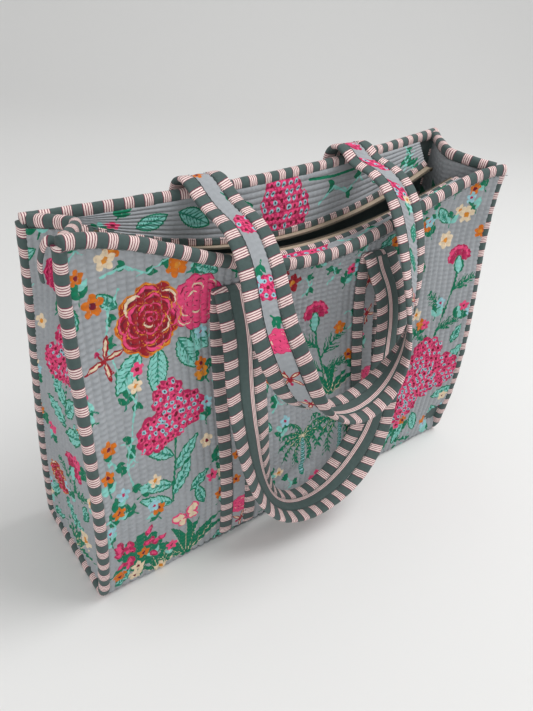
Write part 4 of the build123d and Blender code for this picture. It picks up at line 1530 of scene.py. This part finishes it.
class MakeBindings(bpy.types.Operator):
    """Striped bindings over the rim and the side seams, with hand stitches along the rim bindings
    """
    bl_idname = "knitting_bag.bindings"
    bl_label = "Striped bindings"

    def execute(self, context):
        for name, poles, out in (("front", front_poles, -1), ("back", back_poles, 1)):
            line = rim_line(poles, out)
            rolled_binding(name + "_rim_binding_cloth", line, *RIM_BINDING,
                           name + "_rim_binding", 2 + out)
            _, face = frames_along(line, (0, 0, 1))
            thread = line - face * RIM_STITCH_DOWN + np.array([0, out * RIM_STITCH_OUT, 0])
            stitches = repeat_along(name + "_rim_stitches", [thread], thread_shape,
                                    "binding_thread", *RIM_STITCH, 3)
            dress(stitches, "binding_thread", "striped_binding", "bag")
        for name, side in SIDES:
            front = seam_line(front_poles, side, -1)
            back = seam_line(back_poles, side, 1)
            front[:, 2] = np.maximum(front[:, 2], SEAM_FLOOR)
            back[:, 2] = np.maximum(back[:, 2], SEAM_FLOOR)
            rise = np.array([0, 0, SEAM_RISE])
            points = [front[-1] + rise, *front[:1:-3], *back[2::3], back[-1] + rise]
            line = smooth_line(points, 260)
            line[:, 2] = np.maximum(line[:, 2], SEAM_FLOOR)
            rolled_binding(name + "_seam_binding_cloth", line, *SEAM_BINDING,
                           name + "_seam_binding", 5 + side, towards=(side, 0, 0))
            t = np.linspace(0, 1, 41)
            line = mix(front[-1], back[-1], t[:, None])
            line[:, 0] = side * (HALF - GUSSET_BINDING_IN - FOLD_IN * fold_share(t))
            line = line[2:-2] + np.array([0, 0, SEAM_RADIUS - GUSSET_BINDING_IN])
            rolled_binding(name + "_gusset_binding_cloth", even(line, 70), *GUSSET_BINDING,
                           name + "_rim_binding", 9 + side)
        return {"FINISHED"}


BAND = STRAP / 2 - STRAP_PRINT / 2 - GAP
BAND_OUT = STRAP_PRINT / 2 + GAP + BAND / 2
BAND_OFFSETS = (-BAND_OUT, BAND_OUT)
LEG_BAND_THICK = 0.0046
LOOP_BAND_THICK = 0.0048
FOLD_BAND_THICK = 0.0038
LINING_THICK = 0.0026
STRIP_CROWN = 0.0006
STRIP_THICK = 0.0011
SEWN_OUT = STRAP_PRINT / 2 + 0.0014  # the webbing's rows of stitches, from its middle
WEBBING_STITCH = (0.0036, 0.0026, 0.0006, 0.0005, 0.15)

# Heights of the sewn legs' parts from a wall's face, and of the loops' from their middle.
LEG_LIFT = 0.0019
LEG_PRINT_LIFT = LEG_LIFT + 0.0008
LEG_STITCH_LIFT = LEG_LIFT + 0.0019
LOOP_PRINT_LIFT = 0.0012
LOOP_LINING_LIFT = 0.0008
LOOP_STITCH_LIFT = 0.0021

# Each wall's curve, the way out from it, its feet, where its webbing leaves it and how clear.
WALLS = {"front": (front_poles, 1, FRONT_FOOT, FRONT_LEG_END, FRONT_FOOT_CLEAR),
         "back": (back_poles, -1, BACK_FOOT, BACK_LEG_END, BACK_FOOT_CLEAR)}


def band(name, line, side, face, offset, lift, node, body, seed, thick):
    """One padded striped band at the edge of a length of webbing."""
    middle = line + side * offset + face * lift
    swell = 1 + waviness(lengths_along(middle), 0.012, seed, 0.05)
    outline = pillow(BAND * 0.99, thick, 0.6) * swell[:, None, None]
    piece = sweep(name, middle, side, face, outline, start=0.0037 * seed)
    dress(piece, "striped_binding", "striped_binding", body, node)
    return piece


def strip_cloth(line, side, face, lift):
    """The printed strip's grid along a length of webbing, with its outward side on face."""
    across = np.linspace(-STRAP_PRINT / 2, STRAP_PRINT / 2, 2 * ROW_LINES + 1)
    crown = STRIP_CROWN * np.cos(np.pi * across / STRAP_PRINT)
    points = (line[None] + side[None] * across[:, None, None]
              + face[None] * (lift + crown)[:, None, None])
    sign = 1.0 if (grid_normals(points)[ROW_LINES] * face).sum(axis=1).mean() > 0 else -1.0
    return Cloth(points, sign)


def printed_strip(name, line, side, face, lift, node, body, seed):
    count = ROW_LINES * (len(line) // ROW_LINES) + 1
    cloth = strip_cloth(line[:count], side[:count], face[:count], lift)
    page = Page(cloth.across, cloth.up)
    strip_print(page, seed, cloth.up.max() / MM)
    height = 0.00035 * np.sin(2 * np.pi * cloth.up / 0.0052 + cloth.across * 220)
    piece = cloth.shell(name, height, STRIP_THICK, page)
    dress(piece, "printed_cotton", "printed_cotton", body, node)


def webbing_stitches(name, line, side, face, lift, body):
    """Two rows of stitches, where each band is sewn to the strip between them."""
    rows = [line + side * offset + face * lift for offset in (-SEWN_OUT, SEWN_OUT)]
    thread = repeat_along(name, rows, thread_shape, "binding_thread", *WEBBING_STITCH, 4)
    dress(thread, "binding_thread", "striped_binding", body)


def leg_line(poles, x, out, end):
    """A line up the wall's outer face, with its side and outward directions."""
    line = even(wall_curve(poles, x, np.linspace(LEG_START, end, 60)), LEG_POINTS)
    along = tangents(line)
    face = out * np.stack([np.zeros(LEG_POINTS), -along[:, 2], along[:, 1]], axis=-1)
    return line, np.tile([1.0, 0.0, 0.0], (LEG_POINTS, 1)), face


class MakeStraps(bpy.types.Operator):
    """The four lengths of webbing sewn up the walls"""
    bl_idname = "knitting_bag.straps"
    bl_label = "Sewn straps"

    def execute(self, context):
        for wall, (poles, out, foot_x, end, _) in WALLS.items():
            for name, sign in SIDES:
                label = f"{wall}_{name}_strap"
                seed = 3 + sign + (10 if wall == "back" else 0)
                leg = leg_line(poles, sign * foot_x, out, end)
                for k, offset in enumerate(BAND_OFFSETS):
                    band(f"{label}_band_{k + 1}", *leg, offset, LEG_LIFT, label + "_edges", "bag",
                         seed + k, LEG_BAND_THICK)
                printed_strip(label + "_print_cloth", *leg, LEG_PRINT_LIFT, label + "_print",
                              "bag", seed + 40)
                webbing_stitches(label + "_stitches", *leg, LEG_STITCH_LIFT, "bag")
        return {"FINISHED"}


def foot_point(poles, x, out, end, clear):
    """The middle of the webbing where it leaves the wall."""
    lift = GAP + LEG_THICK + clear + STRAP_THICK / 2
    rim = poles(x)[2:]
    dy = rim[1][0] - rim[0][0]
    dz = rim[1][1] - rim[0][1]
    long = math.hypot(dy, dz)
    start = wall_curve(poles, x, [end, 1.0])[0]
    return start + np.array([0.0, -out * lift * dz / long, out * lift * dy / long])


def loop_line(route, feet, reach, low, count):
    points = []
    for across, out, up in route:
        hinge = mix(feet[0], feet[1], (across + 1) / 2)
        points.append((hinge[0], hinge[1] - out * reach, mix(low, hinge[2], up)))
    return smooth_line(points, count)


def loop_frames(line, turn):
    """Width and face directions along a loop, which turns over once between its feet."""
    along = tangents(line)
    share = lengths_along(line)
    share = share / share[-1]
    s = np.clip((share - TWIST_START) / (1 - 2 * TWIST_START), 0, 1)
    angle = math.pi * s * s * (3 - 2 * s)
    across = np.stack([np.cos(angle), turn * np.abs(np.sin(angle)), np.zeros(len(line))], axis=-1)
    across = square_to(along, across)
    return across, np.cross(along, across)


FOLD_POINTS = 34


def fold_pieces(label, leg, loop, seed):
    """The soft turn of the webbing between its sewn leg and its loop."""
    line, side, face = leg
    path, across = loop
    if across[0] @ side[-1] < 0:
        across = -across
    start = line[-9:] + face[-9:] * LEG_LIFT
    end = path[:7]
    joined = smooth_line(np.concatenate([start[::2], end[1::2]]), FOLD_POINTS)
    t = np.linspace(0, 1, FOLD_POINTS)[:, None]
    sides = unit(mix(side[-1:], across[:1], t))
    along = tangents(joined)
    sides = square_to(along, sides)
    faces = np.cross(along, sides)
    for k, offset in enumerate(BAND_OFFSETS):
        piece = band(f"{label}_fold_{k + 1}", joined, sides, faces, offset, 0.0, None, None,
                     seed + k, FOLD_BAND_THICK)
        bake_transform(piece)
    middle = sweep(label + "_fold_lining", joined, sides, faces,
                   pillow(STRAP_PRINT * 1.08, LINING_THICK, 0.6))
    dress(middle, "slate_lining", "slate_lining", None)
    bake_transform(middle)


class MakeHandles(bpy.types.Operator):
    """The two webbing loops and the soft turns at their feet"""
    bl_idname = "knitting_bag.handles"
    bl_label = "Handles"

    def execute(self, context):
        feet = {wall: [foot_point(poles, sign * foot_x, out, end, clear) for _, sign in SIDES]
                for wall, (poles, out, foot_x, end, clear) in WALLS.items()}
        reach = feet["back"][0][1] - float(front_rim(0.0)[0]) + BACK_HANDLE_OUT
        routes = {"front": (FRONT_ROUTE, FRONT_HANDLE_OUT, FRONT_HANDLE_LOW),
                  "back": (BACK_ROUTE, reach, BACK_HANDLE_LOW)}
        for wall, (poles, out, foot_x, end, _) in WALLS.items():
            label = wall + "_handle"
            route, away, low = routes[wall]
            line = loop_line(route, feet[wall], away, low, LOOP_POINTS[wall])
            across, face = loop_frames(line, out)
            for k, node in enumerate(("_first_edge", "_second_edge")):
                band(f"{label}_band_{k + 1}", line, across, face, BAND_OFFSETS[k], 0.0,
                     label + node, label, 21 + k + out, LOOP_BAND_THICK)
            inner = face * out
            printed_strip(label + "_print_cloth", line, across, -inner, LOOP_PRINT_LIFT,
                          label + "_print", label, 60 + out)
            lining = sweep(label + "_lining_cloth", line + inner * LOOP_LINING_LIFT, across,
                           inner, pillow(STRAP_PRINT * 1.06, LINING_THICK, 0.6))
            dress(lining, "slate_lining", "slate_lining", label, label + "_lining")
            for name, sign in (("outer", 1), ("inner", -1)):
                webbing_stitches(f"{label}_{name}_stitches", line, across, face * sign,
                                 LOOP_STITCH_LIFT, label)
            for name, sign in SIDES:
                leg = leg_line(poles, sign * foot_x, out, end)
                loop = (line[::-sign], across[::-sign])
                fold_pieces(f"{wall}_{name}", leg, loop, 31 + sign)
        return {"FINISHED"}


# ---- zip ----
def zip_height(x):
    return ZIP_MID_HEIGHT + ZIP_RADIUS - np.sqrt(ZIP_RADIUS ** 2 - x * x)


def zip_rows(count):
    """The free edges of the front and back tooth rows."""
    x = np.linspace(-ZIP_HALF, ZIP_HALF, count)
    share = (x + ZIP_HALF) / (2 * ZIP_HALF)
    opening = mix(ZIP_OPEN_LEFT, ZIP_OPEN_RIGHT, share ** 3)
    front = np.stack([x, ZIP_LINE_Y - opening, zip_height(x) - TEETH_THICK], axis=-1)
    back = np.stack([x, np.full_like(x, ZIP_LINE_Y), zip_height(x)], axis=-1)
    return front, back


def between(start, seat, begin, count):
    """A grid of points on the lines from start to seat, beginning some way along them."""
    line = seat - start
    long = np.linalg.norm(line, axis=1, keepdims=True)
    t = np.linspace(0, 1, count)[:, None, None]
    return start[None] + (line / long)[None] * mix(begin, long[None], t)


SEAT_IN = 0.0047  # where a top panel meets its wall, in from the rim binding's middle line
SEAT_DOWN = 0.002
TAPE_START = TEETH_WIDE * 0.7  # out from the teeth's free edge
TAPE_END = TEETH_WIDE + TAPE_WIDE
EDGE_OVERLAP = 0.002  # the tape's run past TAPE_END, and the panel's under the edge
TAPE_THICK = 0.0008
BACK_EDGE_OUT = 0.0026  # how much further from the teeth the back's binding lies
ZIP_BINDING_THICK = 0.0034
ZIP_STITCH = (0.005, 0.0034, 0.0007, 0.0006, 0.12)
ZIP_STITCH_UP = 0.0017
ZIP_STITCH_OUT = 0.0022
PANEL_THICK = 0.0024
PANEL_PILLOW = 0.0013
PANEL_CHANNELS = {"front": 3, "back": 8}  # pillows across each top panel
COIL = (0.00125, 0.0008, TEETH_WIDE, 0.0013, 0.0)  # spacing, length, width, height, jitter


def zip_tape(name, row, inwards):
    t = np.linspace(TAPE_START, TAPE_END + EDGE_OVERLAP, ROW_LINES + 1)[:, None, None]
    tape = facing(row[None] + inwards[None] * t, (0, 0, 1))
    height = 0.00015 * np.sin(2 * np.pi * tape.up / 0.0021)
    piece = tape.shell(name + "_zip_tape_cloth", height, TAPE_THICK)
    dress(piece, "zip_tape", "zip_tape", "bag", name + "_zip_tape")


def zip_binding(name, line, aim):
    """The striped edge between a tape and its top panel, with its row of stitches."""
    along = tangents(line)
    side = square_to(along, aim)
    face = np.cross(along, side)
    face = face * np.sign(face[:, 2:3])
    piece = sweep(name + "_zip_binding_cloth", line, side, face,
                  pillow(ZIP_BINDING_WIDE, ZIP_BINDING_THICK, 0.7), start=0.004)
    dress(piece, "striped_binding", "striped_binding", "bag", name + "_zip_binding")
    thread = line + face * ZIP_STITCH_UP + side * ZIP_STITCH_OUT
    stitches = repeat_along(name + "_zip_stitches", [thread], thread_shape, "binding_thread",
                            *ZIP_STITCH, 5)
    dress(stitches, "binding_thread", "striped_binding", "bag")


def panel_print(page):
    """The top panels' print, along from their middle and across."""
    floret_cluster(page, -4, 4, 24, 141)
    floret_cluster(page, 16, -8, 17, 142)
    stem(page, [(28, 14), (60, 12), (96, 13), (118, 10)], 2.2)
    for x, y, turn, long in ((-150, -8, 0.5, 32), (-112, 8, -0.4, 34), (-70, -2, 0.2, 34)):
        leaf(page, x, y, turn, long, 19)
    vine(page, [(44, -6), (62, 4), (80, -4), (98, 6)], 143)
    carnation(page, 130, 0, 18, 0.4, 144)
    taken = [(-130, 0, 24), (-92, 2, 24), (-54, 0, 22), (0, 0, 26), (70, 0, 32), (126, 0, 24)]
    scatter(page, (-190, -14), (190, 18), taken, 145)


def top_panel(name, start, seat, begin):
    """The quilted panel from the zip's binding to the wall."""
    lines = 2 * ROW_LINES * PANEL_CHANNELS[name] + 1
    cloth = facing(between(start, seat, begin, lines), (0, 0, 1))
    wave = np.arange(lines)[:, None] / (2 * ROW_LINES)
    height = PANEL_PILLOW * np.abs(np.sin(np.pi * wave)) ** 0.7 - 0.0004
    height = height * (0.85 + 0.15 * np.sin(2 * np.pi * cloth.up / 0.0062))
    height = height + waviness(cloth.up, 0.06, 33, 0.001)
    page = Page(cloth.up - cloth.up.max() / 2, cloth.across)
    panel_print(page)
    piece = cloth.shell(name + "_zip_panel_cloth", height, PANEL_THICK, page)
    dress(piece, "printed_cotton", "printed_cotton", "bag", name + "_zip_panel")


class MakeZip(bpy.types.Operator):
    """The quilted top panels, the zip's tapes and teeth, and their striped edges"""
    bl_idname = "knitting_bag.zip"
    bl_label = "Zip and top panels"

    def execute(self, context):
        front_row, back_row = zip_rows(ZIP_LINES)
        for name, row, poles, out in (("front", front_row, front_poles, -1),
                                      ("back", back_row, back_poles, 1)):
            rim = rim_line(poles, out, 400)
            rim = np.stack([np.interp(row[:, 0], rim[:, 0], rim[:, k]) for k in range(3)], axis=-1)
            seat = rim + np.array([0, -out * SEAT_IN, -SEAT_DOWN])
            if name == "front":
                start, begin, inwards = row, TAPE_END, unit(seat - row)
            else:
                inwards = np.array([[0.0, 1.0, 0.0]])
                start, begin = row + inwards * (TAPE_END + BACK_EDGE_OUT), 0.0
            zip_tape(name, row, inwards)
            aim = unit(seat - start)
            zip_binding(name, start + aim * (begin + ZIP_BINDING_WIDE / 2), aim)
            top_panel(name, start, seat, begin + ZIP_BINDING_WIDE - EDGE_OVERLAP)
            coil = repeat_along(name + "_zip_coil", [row + inwards * (TEETH_WIDE / 2)],
                                tooth_shape, "zip_coil", *COIL, 1)
            dress(coil, "zip_coil", "zip_teeth", "bag", name + "_zip_teeth")
        for node in ("zip_slider", "zip_pull", "zip_stops"):
            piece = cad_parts[node]
            piece.data.materials.clear()
            piece.data.materials.append(material("zip_metal"))
        return {"FINISHED"}


TAIL_ROUTE = ((0.5, 3, 3), (-5, 5, 5), (-9, 8, -3), (-11, 9, -14), (-10.5, 9, -25))
TAIL_WIDE = 0.0082
TAIL_THICK = 0.0028


class MakeLooseEnds(bpy.types.Operator):
    """The tail of binding left at the front left corner"""
    bl_idname = "knitting_bag.loose_ends"
    bl_label = "Binding tail"

    def execute(self, context):
        top = seam_line(front_poles, -1, -1)[-1]
        line = smooth_line([top + np.array(p) * MM for p in TAIL_ROUTE], 48)
        side, face = frames_along(line, (-1, 0.0, 0.3))
        narrowing = np.linspace(1.0, 0.8, len(line))[:, None, None]
        outline = pillow(TAIL_WIDE, TAIL_THICK, 0.7) * narrowing
        tail = sweep("binding_tail", line, side, face, outline)
        dress(tail, "striped_binding", "striped_binding", "bag")
        return {"FINISHED"}


# ---- stage ----
FLOOR_RUN = 1.6  # flat floor behind the bag, before its sweep starts
FLOOR_FORE = 6.0  # and in front of it
FLOOR_HALF = 7.0
SWEEP_RADIUS = 1.4
SWEEP_STEPS = 12
WALL_TOP = 6.0


def backdrop(settings):
    """A pale floor that sweeps up behind the bag."""
    nodes = Nodes("backdrop")
    finish = nodes.finish(nodes.tone(settings.floor_tone), rough=1.0)
    profile = [(-FLOOR_FORE, 0.0), (FLOOR_RUN, 0.0)]
    for k in range(1, SWEEP_STEPS + 1):
        turn = math.pi / 2 * k / SWEEP_STEPS
        profile.append((FLOOR_RUN + SWEEP_RADIUS * math.sin(turn),
                        SWEEP_RADIUS - SWEEP_RADIUS * math.cos(turn)))
    profile.append((FLOOR_RUN + SWEEP_RADIUS, WALL_TOP))
    away = math.radians(settings.azimuth)
    points = []
    for distance, height in profile:
        for sideways in (-FLOOR_HALF, FLOOR_HALF):
            points.append((distance * -math.sin(away) + sideways * math.cos(away),
                           distance * math.cos(away) + sideways * math.sin(away), height))
    quads = grid_quads(len(profile), 2)
    floor = mesh_object("floor", np.array(points), quads, closed=False)
    floor.data.materials.append(finish)
    return floor


LIGHT_AIM = (0, 0, 0.15)


def soft_light(name, place, size, power):
    lamp = bpy.data.lights.new(name, "AREA")
    lamp.shape = "DISK"
    lamp.size = size
    lamp.energy = power
    holder = placed(name, lamp)
    holder.location = place
    holder.rotation_euler = (Vector(LIGHT_AIM) - Vector(place)).to_track_quat("-Z", "Y").to_euler()
    return holder


def studio_camera(settings):
    a = math.radians(settings.azimuth)
    e = math.radians(settings.elevation)
    back = Vector((math.sin(a) * math.cos(e), -math.cos(a) * math.cos(e), math.sin(e)))
    right = (-back).cross(Vector((0, 0, 1))).normalized()
    up = right.cross(-back)
    c, s = math.cos(settings.roll), math.sin(settings.roll)
    x = c * right + s * up
    y = -s * right + c * up
    camera = bpy.data.cameras.new("camera")
    camera.lens = settings.lens
    camera.sensor_width = 36.0
    holder = placed("camera", camera)
    turned = Matrix((x, y, back)).transposed().to_4x4()
    turned.translation = Vector(settings.target) + back * settings.distance
    holder.matrix_world = turned
    bpy.context.scene.camera = holder


class MakeStage(bpy.types.Operator):
    """Pale sweep, soft studio light and the camera"""
    bl_idname = "knitting_bag.stage"
    bl_label = "Stage"

    def execute(self, context):
        settings = context.scene.knitting_bag_stage
        floor = backdrop(settings)
        key = soft_light("key", (0.9, -0.5, 1.9), 1.3, settings.key_power)
        fill = soft_light("fill", (-2.0, -1.4, 1.2), 2.0, settings.fill_power)
        world = bpy.data.worlds.new("studio")
        world.use_nodes = True
        room = world.node_tree.nodes["Background"].inputs
        room["Color"].default_value = (1, 1, 1, 1)
        room["Strength"].default_value = settings.surround
        context.scene.world = world
        studio_camera(settings)
        context.scene.view_settings.view_transform = "Standard"
        return {"FINISHED"}


# ---- settings, panel and registration ----
def tone_property(name, description, tone):
    return FloatVectorProperty(name=name, description=description, subtype="COLOR", size=4,
                               min=0.0, max=1.0, default=tone)


def length_property(name, default, description):
    return FloatProperty(name=name, description=description, default=default, unit="LENGTH")


class BagCloth(bpy.types.PropertyGroup):
    ground: tone_property("Ground", "Grey ground of the printed cotton",
                          colour(157, 161, 165))
    # Slate is the woven stripe's own colour, and also painted shade on the bag's inside and on the
    # plain strip of the handles' reverse
    slate: tone_property("Slate", "Dark woven stripe, lining and reverse",
                         colour(76, 92, 90))
    cream: tone_property("Cream", "Pale woven stripes", colour(238, 218, 212))
    maroon: tone_property("Maroon", "Fine woven lines between the pale stripes",
                          colour(124, 44, 70))
    quilting_thread: tone_property("Quilting thread", "Thread of the quilting rows",
                                   colour(172, 172, 170))
    slate_thread: tone_property("Binding thread", "Thread of the bindings and webbing",
                                colour(92, 100, 100))
    tape_tone: tone_property("Zip tape", "Woven tape beside the teeth", colour(176, 160, 140))
    zip_tone: tone_property("Zip coil", "Moulded coil of the zip", colour(120, 112, 100))
    metal: tone_property("Zip metal", "Plated zinc of the slider and pull",
                         colour(170, 158, 132))
    row_spacing: length_property("Quilting rows", 0.0075, "Space between quilting rows")
    pillow_height: length_property("Pillow height", 0.0021,
                                   "Height of the cloth between two quilting rows")
    pucker_spacing: length_property("Pucker spacing", 0.0052,
                                    "Space between puckers along a quilting row")
    stitch_spacing: length_property("Stitch spacing", 0.0052,
                                    "Space between stitches along a quilting row")
    stitch_length: length_property("Stitch length", 0.0034, "Length of one stitch")
    stripe_repeat: length_property("Stripe repeat", 0.0165,
                                   "Length of one repeat of the woven stripes")
    slate_share: FloatProperty(name="Slate share", default=0.52, min=0.2, max=0.8,
                               description="Share of a stripe repeat that is plain slate")
    pale_bands: IntProperty(name="Pale bands", default=4, min=2, max=5,
                            description="Pale stripes in each repeat")


class BagStage(bpy.types.PropertyGroup):
    azimuth: FloatProperty(name="Azimuth", default=-39.45,
                           description="Degrees round the bag from its front")
    elevation: FloatProperty(name="Elevation", default=33.7, description="Degrees above it")
    distance: length_property("Distance", 0.665, "From the camera to what it aims at")
    roll: FloatProperty(name="Roll", default=0.09, description="Camera roll, in radians")
    lens: FloatProperty(name="Lens", default=32.4, description="Focal length, in millimetres")
    target: FloatVectorProperty(name="Target", default=(-0.010, 0.0, 0.160),
                                description="Point that the camera aims at", unit="LENGTH")
    floor_tone: tone_property("Floor", "Paper floor and backdrop", colour(226, 226, 225))
    key_power: FloatProperty(name="Key light", default=26.0, description="Watts")
    fill_power: FloatProperty(name="Fill light", default=14.0, description="Watts")
    surround: FloatProperty(name="Surround", default=0.62, description="Strength of the room")


OPERATORS = [MakeWrap, MakeGussets, MakeBindings, MakeStraps, MakeHandles, MakeZip,
             MakeLooseEnds, MakeStage]


class KnittingBagPanel(bpy.types.Panel):
    """Buttons for each part of the bag"""
    bl_idname = "VIEW3D_PT_knitting_bag"
    bl_label = "Quilted knitting bag"
    bl_space_type = "VIEW_3D"
    bl_region_type = "UI"
    bl_category = "Knitting bag"

    def draw(self, context):
        column = self.layout.column(align=True)
        for operator in OPERATORS:
            column.operator(operator.bl_idname)
        for group in (context.scene.knitting_bag_cloth, context.scene.knitting_bag_stage):
            for key in group.bl_rna.properties.keys():
                if key not in ("rna_type", "name"):
                    column.prop(group, key)


CLASSES = [BagCloth, BagStage, *OPERATORS, KnittingBagPanel]


def register():
    for each in CLASSES:
        bpy.utils.register_class(each)
    bpy.types.Scene.knitting_bag_cloth = PointerProperty(type=BagCloth)
    bpy.types.Scene.knitting_bag_stage = PointerProperty(type=BagStage)


def unregister():
    del bpy.types.Scene.knitting_bag_stage
    del bpy.types.Scene.knitting_bag_cloth
    for each in reversed(CLASSES):
        bpy.utils.unregister_class(each)


def main():
    register()
    bpy.ops.knitting_bag.wrap()
    bpy.ops.knitting_bag.gussets()
    bpy.ops.knitting_bag.bindings()
    bpy.ops.knitting_bag.straps()
    bpy.ops.knitting_bag.handles()
    bpy.ops.knitting_bag.zip()
    bpy.ops.knitting_bag.loose_ends()
    bpy.ops.knitting_bag.stage()


if __name__ == "__main__":
    main()
